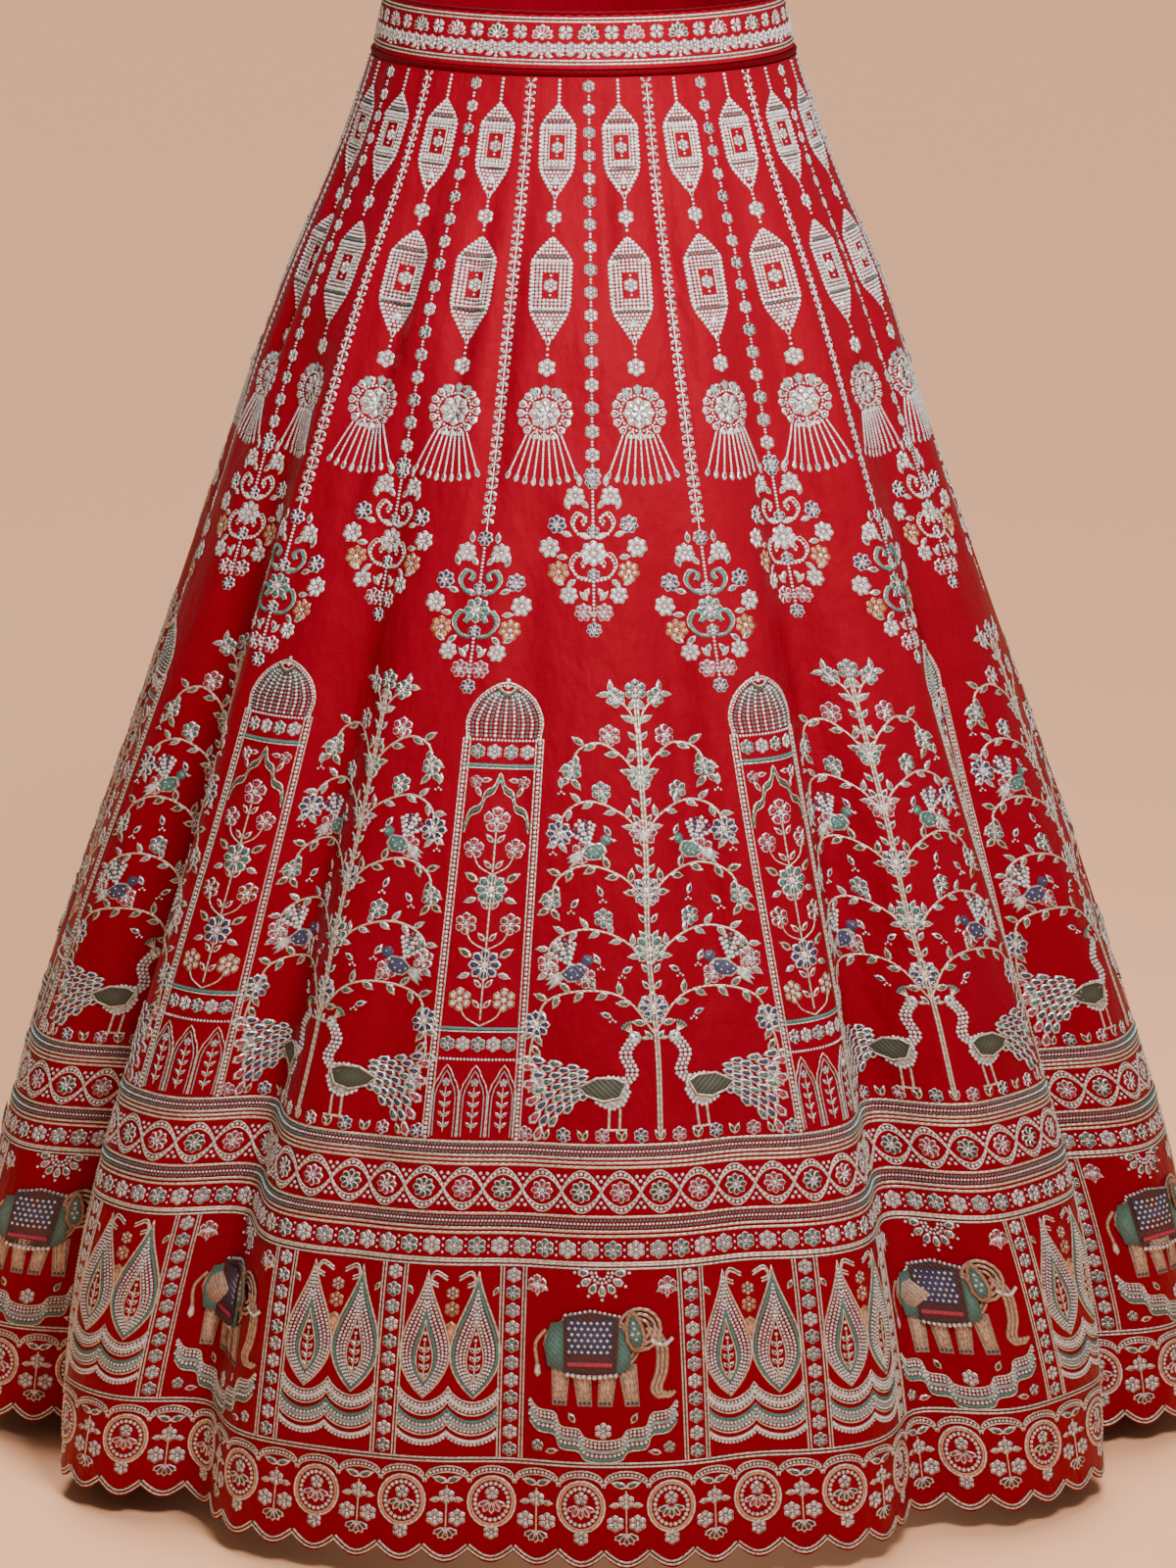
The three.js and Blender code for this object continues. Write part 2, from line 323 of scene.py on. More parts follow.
def set_uv(piece: bpy.types.Object, name: str, uv: np.ndarray) -> None:
    """Gives a piece a UV map from one pair of values for each vertex."""
    mesh = piece.data
    corners = np.empty(len(mesh.loops), dtype=np.int32)
    mesh.loops.foreach_get("vertex_index", corners)
    layer = mesh.uv_layers.new(name=name)
    layer.uv.foreach_set("vector", uv[corners].astype(np.float32).ravel())


def set_tint(piece: bpy.types.Object, tint: np.ndarray) -> None:
    """Gives a piece's vertices the colours of their threads, darkened towards the cloth as painted shade.
    """
    layer = piece.data.color_attributes.new(name="tint", type="FLOAT_COLOR", domain="POINT")
    colours = np.concatenate([tint, np.ones((len(tint), 1))], axis=1)
    layer.data.foreach_set("color", colours.astype(np.float32).ravel())


# ---- Finishes ----
class Value:
    """A shader socket that takes part in sums."""

    def __init__(self, shader: "Shader", socket: bpy.types.NodeSocket) -> None:
        """Keeps the socket and the shader it is in."""
        self.shader = shader
        self.socket = socket

    def combine(self, operation: str, first: object, second: object) -> "Value":
        """Adds one Math node."""
        return self.shader.node("ShaderNodeMath", {"operation": operation}, {0: first, 1: second})

    def __add__(self, other: object) -> "Value":
        """Sum."""
        return self.combine("ADD", self, other)

    def __mul__(self, other: object) -> "Value":
        """Product."""
        return self.combine("MULTIPLY", self, other)

    __radd__ = __add__
    __rmul__ = __mul__


class Shader:
    """A material under construction."""

    def __init__(self, name: str) -> None:
        """Makes the material with a plain surface shader."""
        self.material = bpy.data.materials.new(name)
        self.material.use_nodes = True
        self.tree = self.material.node_tree
        self.surface = self.tree.nodes["Principled BSDF"]

    def node(self, kind: str, settings: dict, inputs: dict, output: object = 0) -> Value:
        """Adds a node.

        Args:
            kind: the node's type.
            settings: its own properties.
            inputs: values or links by socket name or number.
            output: which output to return.

        Returns:
            The output, ready for sums.
        """
        made = self.tree.nodes.new(kind)
        for key, value in settings.items():
            setattr(made, key, value)
        for key, value in inputs.items():
            self.feed(made.inputs[key], value)
        return Value(self, made.outputs[output])

    def feed(self, socket: bpy.types.NodeSocket, value: object) -> None:
        """Links a value to a socket, or sets the socket to a plain number, vector or colour."""
        if isinstance(value, Value):
            self.tree.links.new(value.socket, socket)
        elif isinstance(value, tuple) and len(value) == 3 and socket.type == "RGBA":
            socket.default_value = (*value, 1)
        else:
            socket.default_value = value

    def set(self, **inputs: object) -> None:
        """Feeds the surface shader, with underscores for the spaces in its sockets' names."""
        for key, value in inputs.items():
            self.feed(self.surface.inputs[key.replace("_", " ")], value)

    def mix(self, factor: object, first: object, second: object, way: str = "MIX") -> Value:
        """Mixes two colours."""
        settings = {"data_type": "RGBA", "blend_type": way}
        return self.node("ShaderNodeMix", settings, {0: factor, 6: first, 7: second}, 2)

    def uv(self, name: str) -> Value:
        """The piece's UV map of a name."""
        return self.node("ShaderNodeUVMap", {"uv_map": name}, {})

    def place(self) -> Value:
        """Object coordinates."""
        return self.node("ShaderNodeTexCoord", {}, {}, "Object")

    def stretch(self, vector: Value, scale: tuple[float, float, float]) -> Value:
        """A vector scaled along each axis."""
        return self.node("ShaderNodeMapping", {}, {"Vector": vector, "Scale": scale})

    def noise(self, vector: Value, scale: float, detail: float) -> Value:
        """Soft noise from 0 to 1."""
        inputs = {"Vector": vector, "Scale": scale, "Detail": detail}
        return self.node("ShaderNodeTexNoise", {}, inputs)

    def wave(self, vector: Value, scale: float) -> Value:
        """Even slanting bands from 0 to 1."""
        settings = {"bands_direction": "DIAGONAL"}
        return self.node("ShaderNodeTexWave", settings, {"Vector": vector, "Scale": scale}, 1)

    def bump(self, height: object, strength: float, distance: float) -> Value:
        """A bumped normal."""
        inputs = {"Height": height, "Strength": strength, "Distance": distance}
        return self.node("ShaderNodeBump", {}, inputs)


@dataclass(frozen=True)
class SilkFinish:
    """Raw silk: slubs along the weft, a fine weave and faint rumples."""

    name: str = "raw_silk"
    deep: tuple = (0.168, 0.0009, 0.0082)
    bright: tuple = (0.218, 0.0014, 0.0108)
    glint: tuple = (0.9, 0.05, 0.06)

    def material(self) -> bpy.types.Material:
        """Builds the material."""
        shader = Shader(self.name)
        cloth = shader.uv("cloth")
        slub = shader.noise(shader.stretch(cloth, (40, 900, 1)), 1.0, 3)
        patch = shader.noise(shader.stretch(cloth, (9, 6, 1)), 1.0, 3)
        rumple = shader.noise(shader.stretch(cloth, (30, 14, 1)), 1.0, 4)
        tone = slub * 0.55 + patch * 0.45
        shader.set(
            Base_Color=shader.mix(tone, self.deep, self.bright),
            Roughness=0.62 + slub * -0.18,
            Specular_IOR_Level=0.19,
            Specular_Tint=self.glint,
            Normal=shader.bump(rumple + slub * 0.02, 0.8, 0.008),
        )
        return shader.material


@dataclass(frozen=True)
class PearlFinish:
    """Small pearly beads or sequins, no two quite alike in tone, darker in random patches that are partly
    tone and partly painted shade between the beads.
    """

    name: str = "pearl_beads"
    dark_tone_and_shade: tuple = (0.46, 0.48, 0.50)
    roughness: float = 0.16

    def material(self) -> bpy.types.Material:
        """Builds the material."""
        shader = Shader(self.name)
        tone = shader.noise(shader.place(), 330, 2)
        tint = shader.node("ShaderNodeAttribute", {"attribute_name": "tint"}, {}, "Color")
        # partly random tone and partly painted shade: the tint darkened towards a cool grey where the
        # noise is high
        shade = shader.mix(1.0, tint, self.dark_tone_and_shade, "MULTIPLY")
        shader.set(
            Base_Color=shader.mix(tone * 3.2 + -1.25, tint, shade),
            Roughness=self.roughness + tone * 0.2,
            Coat_Weight=0.8,
            Coat_Roughness=0.08,
        )
        return shader.material


@dataclass(frozen=True)
class ThreadFinish:
    """Twisted metallic cord or satin stitches, in the colour that each vertex carries, darker in the
    grooves of the twist as painted shade and in random patches that are partly tone and partly painted
    shade.
    """

    name: str
    metallic: float
    roughness: float
    twist: float  # bands in each metre
    relief: float

    def material(self) -> bpy.types.Material:
        """Builds the material."""
        shader = Shader(self.name)
        settings = {"attribute_name": "tint"}
        tint = shader.node("ShaderNodeAttribute", settings, {}, "Color")
        bands = shader.wave(shader.uv("stitch"), self.twist)
        tone = shader.noise(shader.place(), 420, 2)
        # painted shade: the tint darkened in the grooves of the twist and in random patches
        shadow = shader.mix(0.62, tint, (0.05, 0.03, 0.03))
        shader.set(
            Base_Color=shader.mix(bands * 0.4 + tone * 2.4 + -0.75, shadow, tint),
            Metallic=self.metallic,
            Roughness=self.roughness + tone * 0.15,
            Normal=shader.bump(bands, self.relief, 0.0005),
        )
        return shader.material


class Finish(Enum):
    """What a stitch is made of."""

    PEARL = "pearls"
    ZARI = "zari"
    THREAD = "thread"
    SEQUIN = "sequins"


class Tint:
    """Colours of thread and cord, as the eye sees them."""

    gold = (0.86, 0.70, 0.54)
    champagne = (0.95, 0.85, 0.74)
    silver = (0.98, 0.93, 0.89)
    ivory = (1.0, 0.98, 0.97)
    teal = (0.070, 0.22, 0.19)
    mist = (0.34, 0.45, 0.43)
    navy = (0.035, 0.040, 0.13)
    olive = (0.050, 0.065, 0.035)
    pink = (0.56, 0.008, 0.075)
    peach = (0.80, 0.38, 0.20)
    taupe = (0.66, 0.44, 0.31)
    maroon = (0.10, 0.008, 0.012)
    red = (0.42, 0.006, 0.010)


# ---- Flat outlines, in millimetres, x to the right and y up, turning left ----
def petal(length: float, width: float, count: int = 6, start: float = 0.0) -> np.ndarray:
    """A drop standing on its point.

    Args:
        length: from point to round end.
        width: at its widest.
        count: how many points it has.
        start: how far above the origin the point stands.

    Returns:
        The outline's points.
    """
    a = 2 * np.pi * np.arange(count) / count - np.pi / 2
    y = start + length * (np.sin(a) + 1) / 2
    return np.stack([width / 2 * np.cos(a) * (0.85 + 0.3 * np.sin(a)), y], 1)


def blade(length: float, width: float, start: float = 0.0) -> np.ndarray:
    """A leaf with both ends pointed."""
    side = [(0, 0), (0.44, 0.28), (0.44, 0.62), (0, 1.0)]
    left = [(-x, y) for x, y in side[2:0:-1]]
    return np.array(side + left) * (width, length) + (0, start)


def arc(radius: float, first: float, last: float, count: int, squash: float = 1.0) -> np.ndarray:
    """Points along a round or oval arc, angles in degrees from the right, turning left."""
    a = np.radians(np.linspace(first, last, count))
    return np.stack([radius * np.cos(a), radius * squash * np.sin(a)], 1)


def ring_points(radius: float, count: int, squash: float = 1.0) -> np.ndarray:
    """Even points round a circle or an oval."""
    return arc(radius, 0, 360, count + 1, squash)[:-1]


def curve(points: list[tuple[float, float]], steps: int = 5) -> np.ndarray:
    """A smooth line through a few points."""
    p = np.array(points, dtype=float)
    p = np.vstack([2 * p[0] - p[1], p, 2 * p[-1] - p[-2]])
    t = np.arange(steps)[:, None] / steps
    out = []
    for a, b, c, d in zip(p[:-3], p[1:-2], p[2:-1], p[3:]):
        bend = 2 * a - 5 * b + 4 * c - d
        out.append(0.5 * (2 * b + (c - a) * t + bend * t**2 + (3 * b - 3 * c + d - a) * t**3))
    return np.vstack([*out, p[-2:-1]])


def spaced(path: np.ndarray | list, pitch: float, closed: bool = False) -> np.ndarray:
    """Points along a line, as near to a pitch apart as goes evenly."""
    path = np.asarray(path, dtype=float)
    if closed:
        path = np.vstack([path, path[:1]])
    lengths = np.concatenate([[0], np.cumsum(np.linalg.norm(np.diff(path, axis=0), axis=1))])
    count = max(int(round(lengths[-1] / pitch)), 1)
    wanted = np.linspace(0, lengths[-1], count + 1)
    if closed:
        wanted = wanted[:-1]
    return np.stack([np.interp(wanted, lengths, path[:, k]) for k in range(2)], 1)


@dataclass(frozen=True)
class Spot:
    """A place on a repeat of the pattern, with a local frame for one motif.

    share is in repeats from the middle line and slope in millimetres down the cloth. turn is in
    degrees to the left, flip -1 mirrors the motif, and offset moves it sideways in millimetres.
    """

    share: float
    slope: float
    turn: float = 0.0
    flip: int = 1
    scale: float = 1.0
    offset: float = 0.0

    def turned(self, x: float, y: float) -> tuple[float, float]:
        """Local lengths as millimetres to the right and up the cloth."""
        a = math.radians(self.turn)
        right = (x * math.cos(a) - y * math.sin(a)) * self.scale * self.flip
        return right, (x * math.sin(a) + y * math.cos(a)) * self.scale

    def lay(self, points: np.ndarray) -> np.ndarray:
        """Local points as rows of share, x and slope."""
        right, up = self.turned(points[:, 0], points[:, 1])
        return np.stack([np.full(len(right), self.share), right + self.offset, self.slope - up], 1)

    def at(self, x: float, y: float, turn: float = 0.0, flip: int = 1, scale: float = 1.0) -> "Spot":
        """A new place, given in this one's frame."""
        right, up = self.turned(x, y)
        return Spot(self.share, self.slope - up, self.turn + turn, self.flip * flip,
                    self.scale * scale, self.offset + right)


class Needlework:
    """The embroidery of one repeat, flat, gathered by finish."""

    def __init__(self, form: SkirtForm, repeats: int = PANELS) -> None:
        """Starts with bare cloth.

        Args:
            form: the cloth's face.
            repeats: how many repeats go round the skirt.
        """
        self.form = form
        self.repeats = repeats
        self.rows: dict[Finish, list] = {finish: [] for finish in Finish}
        self.count = {finish: 0 for finish in Finish}

    def add(self, finish: Finish, laid: np.ndarray, rise: np.ndarray, faces: np.ndarray,
            tint: tuple, uv: np.ndarray, flip: int) -> None:
        """Adds a patch of triangles.

        Args:
            finish: what it is made of.
            laid: share, x and slope of each vertex.
            rise: height of each vertex above the cloth.
            faces: triangles that turn left as seen from outside.
            tint: the thread's colour.
            uv: the stitches' own coordinates, in metres.
            flip: -1 if the patch is mirrored, so that its faces are turned over.
        """
        if flip < 0:
            faces = faces[:, ::-1]
        vertices = np.concatenate([laid, rise[:, None]], 1)
        # painted shade: each vertex's colour is darkened where the patch meets the cloth and kept full at
        # its highest point
        lift = (rise - rise.min()) / max(np.ptp(rise), 1e-6)
        tints_with_painted_shade = (EDGE_PAINTED_SHADE + (1 - EDGE_PAINTED_SHADE) * lift)[:, None] * np.array(tint)
        self.rows[finish].append((vertices, faces + self.count[finish], tints_with_painted_shade, uv))
        self.count[finish] += len(laid)

    def fill(self, spot: Spot, outline: np.ndarray, tint: tuple, rise: float = 0.6,
             base: float = 0.25, finish: Finish = Finish.THREAD) -> None:
        """Satin stitches over padding: a patch that rises to its middle."""
        n = len(outline)
        points = np.vstack([outline, outline.mean(0)])
        heights = np.full(n + 1, base)
        heights[n] = base + rise
        i = np.arange(n)
        faces = np.stack([i, (i + 1) % n, np.full(n, n)], 1)
        self.add(finish, spot.lay(points), heights, faces, tint, points * MM, spot.flip)

    def loop(self, spot: Spot, outline: np.ndarray, tint: tuple, inner: float = 0.6,
             rise: float = 0.6, base: float = 0.2, finish: Finish = Finish.ZARI) -> None:
        """A wire loop: a band that rises from an outline to a smaller copy of it."""
        n = len(outline)
        middle = outline.mean(0)
        points = np.vstack([outline, (outline - middle) * inner + middle])
        heights = np.repeat([base, base + rise], n)
        i = np.arange(n)
        j = (i + 1) % n
        faces = np.vstack([np.stack([i, j, j + n], 1), np.stack([i, j + n, i + n], 1)])
        self.add(finish, spot.lay(points), heights, faces, tint, points * MM, spot.flip)

    def fan(self, spot: Spot, turns: tuple, rim: tuple, heart: tuple, core: tuple,
            inner: float = 0.6) -> None:
        """Wire drops round a spot, each with a satin heart.

        Args:
            spot: where the fan opens from.
            turns: of the drops, in degrees.
            rim: length, width and start of a drop.
            heart: length, width and start of its heart.
            core: the heart's colour.
            inner: size of a drop's opening against its edge.
        """
        for turn in turns:
            at = spot.at(0, 0, turn)
            self.loop(at, petal(rim[0], rim[1], 6, rim[2]), Tint.silver, inner)
            self.fill(at, petal(heart[0], heart[1], 5, heart[2]), core, 0.5, 0.4)

    def braid(self, spot: Spot, path: np.ndarray, width: float = 3.2, closed: bool = False) -> None:
        """Two zari cords side by side with a row of small dark beads between them."""
        along = np.gradient(path, axis=0)
        along = along / np.maximum(np.linalg.norm(along, axis=1, keepdims=True), 1e-6)
        side = np.stack([-along[:, 1], along[:, 0]], 1) * width * 0.34
        for way in (-1, 1):
            self.cord(spot, path + side * way, width * 0.38, Tint.champagne, closed)
        steps = spaced(path, 3.1, closed)
        self.beads(spot, steps, width * 0.2, 0.6, 0.3, Tint.olive, Finish.SEQUIN)

    def cord(self, spot: Spot, path: np.ndarray | list, width: float = 1.1, tint: tuple = Tint.gold,
             closed: bool = False, rise: float = 0.8, base: float = 0.2,
             finish: Finish = Finish.ZARI) -> None:
        """A couched cord: a low roof along a line."""
        path = np.asarray(path, dtype=float)
        n = len(path)
        if closed:
            ahead, behind = np.roll(path, -1, 0), np.roll(path, 1, 0)
        else:
            ahead = np.vstack([path[1:], path[-1:]])
            behind = np.vstack([path[:1], path[:-1]])
        along = ahead - behind
        along = along / np.maximum(np.linalg.norm(along, axis=1, keepdims=True), 1e-6)
        side = np.stack([-along[:, 1], along[:, 0]], 1) * width / 2
        points = np.vstack([path + side, path, path - side])
        heights = np.repeat([base, base + rise, base], n)
        i = np.arange(n if closed else n - 1)
        j = (i + 1) % n
        faces = []
        for left, right in ((0, n), (n, 2 * n)):
            faces.append(np.stack([left + i, right + i, right + j], 1))
            faces.append(np.stack([left + i, right + j, left + j], 1))
        steps = np.linalg.norm(np.diff(path, axis=0, append=path[:1]), axis=1)
        run = np.concatenate([[0], np.cumsum(steps)[:-1]])
        uv = np.stack([np.tile(run, 3), np.repeat([0, width / 2, width], n)], 1) * MM
        self.add(finish, spot.lay(points), heights, np.vstack(faces), tint, uv, spot.flip)

    def beads(self, spot: Spot, centres: np.ndarray, radius: float = 1.15, rise: float = 1.5,
              base: float = 0.2, tint: tuple = Tint.ivory, finish: Finish = Finish.PEARL) -> None:
        """Round beads sewn down at points."""
        centres = np.atleast_2d(np.asarray(centres, dtype=float))
        sides = 4 if radius < 1.2 else 5 if radius < 2 else 7
        rim = ring_points(radius, sides)
        n = len(centres)
        shape = np.vstack([rim, [[0, 0]]])
        points = (centres[:, None, :] + shape[None]).reshape(-1, 2)
        heights = np.tile(np.r_[np.full(sides, base), base + rise], n)
        i = np.arange(sides)
        one = np.stack([i, (i + 1) % sides, np.full(sides, sides)], 1)
        faces = (one[None] + (np.arange(n) * (sides + 1))[:, None, None]).reshape(-1, 3)
        self.add(finish, spot.lay(points), heights, faces, tint, points * MM, spot.flip)

    def string(self, spot: Spot, path: np.ndarray | list, radius: float = 1.15, closed: bool = False,
               tint: tuple = Tint.ivory, finish: Finish = Finish.PEARL) -> None:
        """Beads in a row along a line."""
        self.beads(spot, spaced(path, radius * 2.1, closed), radius, tint=tint, finish=finish)

    def width(self, slope: float) -> float:
        """The width of a repeat at a length down the slope."""
        return float(self.form.repeat_width(slope)) * PANELS / self.repeats

    def rail(self, slope: float, span: tuple[float, float]) -> tuple:
        """A level line across a repeat, with a point at each column of the cloth.

        Args:
            slope: its length down the slope.
            span: the shares of the repeat where it begins and ends.

        Returns:
            The spot and the path to pass to cord or string.
        """
        width = self.width(slope)
        columns = self.form.columns * PANELS / self.repeats
        count = max(round((span[1] - span[0]) * columns), 2) + 1
        path = np.stack([np.linspace(span[0] * width, span[1] * width, count), np.zeros(count)], 1)
        return Spot(0, slope), path

    def lay_on(self, name: str, finish: Finish, number: int) -> bpy.types.Object:
        """Lays the stitches of one finish on the skirt for one repeat.

        Args:
            name: the new piece's name.
            finish: which stitches.
            number: which repeat this is.

        Returns:
            The piece.
        """
        vertices, faces, tints_with_painted_shade, uv = (
            np.concatenate([row[k] for row in self.rows[finish]]) for k in range(4))
        width = self.form.repeat_width(vertices[:, 2]) * PANELS / self.repeats
        share = vertices[:, 0] + vertices[:, 1] / width
        turn = FRONT_LINE + (share + number) / self.repeats
        points = self.form.place(turn, vertices[:, 2], vertices[:, 3])
        piece = mesh_object(name, points, faces)
        set_uv(piece, "stitch", uv)
        set_tint(piece, tints_with_painted_shade)
        return piece


# ---- Motifs ----
@dataclass(frozen=True)
class Flower:
    """A round flower of wire-loop petals, each round a coloured stone, with a bead in the middle."""

    radius: float = 5.0
    petals: int = 6
    rim: tuple = Tint.silver
    core: tuple = Tint.mist

    def stitch(self, work: Needlework, spot: Spot) -> None:
        """Sews the flower."""
        r = self.radius
        width = 2 * r * math.sin(math.pi / self.petals) * 0.80
        for k in range(self.petals):
            at = spot.at(0, 0, 360 / self.petals * k)
            outer = petal(r * 0.80, width * 1.04, 6, r * 0.20)
            work.loop(at, outer, self.rim, 0.7, 0.7)
            core = petal(r * 0.58, width * 0.86, 4, r * 0.32)
            work.fill(at, core, self.core, 0.7, 0.25, Finish.SEQUIN)
        work.beads(spot, [(0, 0)], max(r * 0.24, 1.0), 1.6)


@dataclass(frozen=True)
class Leaf:
    """A leaf with a wire edge and a satin middle."""

    length: float = 7.0
    width: float = 3.4
    rim: tuple = Tint.silver
    core: tuple = Tint.teal

    def stitch(self, work: Needlework, spot: Spot) -> None:
        """Sews the leaf with its stalk end at the spot, pointing up."""
        work.loop(spot, blade(self.length, self.width), self.rim, 0.58)
        inner = petal(self.length * 0.62, self.width * 0.5, 4, self.length * 0.19)
        work.fill(spot, inner, self.core, 0.4, 0.3)


@dataclass(frozen=True)
class Spray:
    """A curved stem with leaves in pairs and flowers at chosen points."""

    points: tuple
    leaf: Leaf = Leaf()
    pitch: float = 9.0
    flowers: tuple = ()  # (share of the length, side distance, Flower)
    stem: float = 1.3

    def stitch(self, work: Needlework, spot: Spot) -> None:
        """Sews stem, leaves and flowers."""
        path = curve(list(self.points), 4)
        work.cord(spot, spaced(path, 4.0), self.stem, Tint.gold)
        stations = spaced(path, self.pitch)
        for i in range(1, len(stations)):
            along = stations[i] - stations[i - 1]
            angle = math.degrees(math.atan2(along[1], along[0])) - 90
            for side in (-1, 1):
                if (i + (side > 0)) % 2 or i == len(stations) - 1:
                    self.leaf.stitch(work, spot.at(*stations[i], angle + side * 48))
        for share, aside, flower in self.flowers:
            k = min(int(share * (len(path) - 1)), len(path) - 2)
            along = path[k + 1] - path[k]
            along = along / max(np.linalg.norm(along), 1e-6)
            x, y = path[k] + aside * np.array([-along[1], along[0]])
            flower.stitch(work, spot.at(x, y))


@dataclass(frozen=True)
class HighString:
    """A string of spaced flowers from the waist to the higher medallion."""

    share: float = 0.0
    top: float = 51.0
    end: float = 312.0
    pitch: float = 16.3
    cores: tuple = (Tint.mist, Tint.silver, Tint.teal)

    def stitch(self, work: Needlework) -> None:
        """Sews the flowers and the little links between them."""
        count = round((self.end - self.top) / self.pitch)
        for i in range(count + 1):
            spot = Spot(self.share, self.top + i * self.pitch)
            core = self.cores[i % len(self.cores)]
            Flower(4.6 + 0.8 * i / count, 6, Tint.ivory, core).stitch(work, spot)
            work.beads(spot.at(0, -self.pitch / 2), [(0, 1.1), (0, -1.1)], 1.15)
        Flower(6.4, 8, Tint.silver, Tint.navy).stitch(work, Spot(self.share, self.end + 14))


@dataclass(frozen=True)
class LowString:
    """A close chain of crossed petals on a cord, down to the lower medallion."""

    share: float = -0.5
    top: float = 49.0
    end: float = 366.0
    pitch: float = 9.6

    def stitch(self, work: Needlework) -> None:
        """Sews the chain."""
        count = int((self.end - self.top) / self.pitch)
        for i in range(count):
            spot = Spot(self.share, self.top + i * self.pitch)
            size = 4.3 + 1.0 * i / count
            for turn in (46, 134, 226, 314):
                at = spot.at(0, 0, turn)
                work.loop(at, petal(size, size * 0.62, 6, 0.8), Tint.ivory, 0.55)
                core = (Tint.teal, Tint.silver)[(i + (turn > 180)) % 2]
                work.fill(at, petal(size * 0.5, size * 0.3, 4, size * 0.4), core, 0.3, 0.4)
        path = spaced([(0, 0), (0, self.top - self.end)], 6)
        work.cord(Spot(self.share, self.top), path, 1.0, Tint.silver)


@dataclass(frozen=True)
class Lantern:
    """A hanging lantern packed with beads, with a flower in its open window."""

    height: float
    width: float
    glass: tuple = Tint.silver
    pitch: float = 2.6

    def half(self, share: float) -> float:
        """Half of the width at a share of the height."""
        shares = (0, 0.06, 0.14, 0.22, 0.70, 0.80, 0.92, 1.0)
        halves = (0.03, 0.10, 0.34, 0.50, 0.50, 0.34, 0.13, 0.04)
        return float(np.interp(share, shares, halves)) * self.width

    def stitch_rows(self, work: Needlework, spot: Spot, window: np.ndarray) -> None:
        """Sews the rows of beads round the window."""
        rows = int(self.height * 0.94 / self.pitch)
        for row in range(rows):
            y = -(row + 0.5) * self.pitch
            half = self.half(-y / self.height)
            count = max(round(2 * half / self.pitch), 1)
            x = (np.arange(count) - (count - 1) / 2) * (2 * half / count)
            if abs(y - window[1]) < window[3]:
                x = x[np.abs(x) > window[2]]
            share = row / rows
            coloured = 0.16 < share < 0.21 or 0.72 < share < 0.77
            finish = Finish.THREAD if coloured else Finish.PEARL
            beads = np.stack([x, np.full(len(x), y)], 1)
            work.beads(spot, beads, 1.3, 1.4, tint=(Tint.ivory, Tint.teal)[coloured], finish=finish)

    def stitch(self, work: Needlework, spot: Spot) -> None:
        """Sews the lantern, hanging from the spot."""
        h, w = self.height, self.width
        window = np.array([0, -h * 0.46, w * 0.24, h * 0.135])
        self.stitch_rows(work, spot, window)
        corners = np.array([(-1, -1), (1, -1), (1, 1), (-1, 1)])
        middle = np.array([0, window[1]])
        work.cord(spot, corners * window[2:] * 1.02 + middle, 1.2, Tint.gold, closed=True, base=0.6)
        glass = corners * (window[2:] + 2.6) + middle
        work.string(spot, glass, 1.0, closed=True, tint=self.glass, finish=Finish.ZARI)
        edge = [(side * self.half(s), -s * h) for side, run in (
            (-1, np.linspace(0.03, 0.95, 10)), (1, np.linspace(0.95, 0.03, 10))) for s in run]
        work.string(spot, np.array(edge), 1.45, closed=True)
        for share in (0.235, 0.685):
            line = [(-self.half(share), -h * share), (self.half(share), -h * share)]
            work.cord(spot, line, 1.4, Tint.silver, base=0.9)
        Flower(w * 0.19, 6, Tint.ivory, Tint.silver).stitch(work, spot.at(0, window[1]))
        work.beads(spot.at(0, window[1]), [(0, w * 0.26), (0, -w * 0.26)], 1.1)
        for side in (-1, 0, 1):
            Leaf(6.4, 4.0, Tint.ivory, Tint.silver).stitch(
                work, spot.at(side * w * 0.1, -h * 0.86, side * 34))
        work.loop(spot.at(0, -h * 1.03), petal(h * 0.09, w * 0.17), Tint.ivory, 0.5)


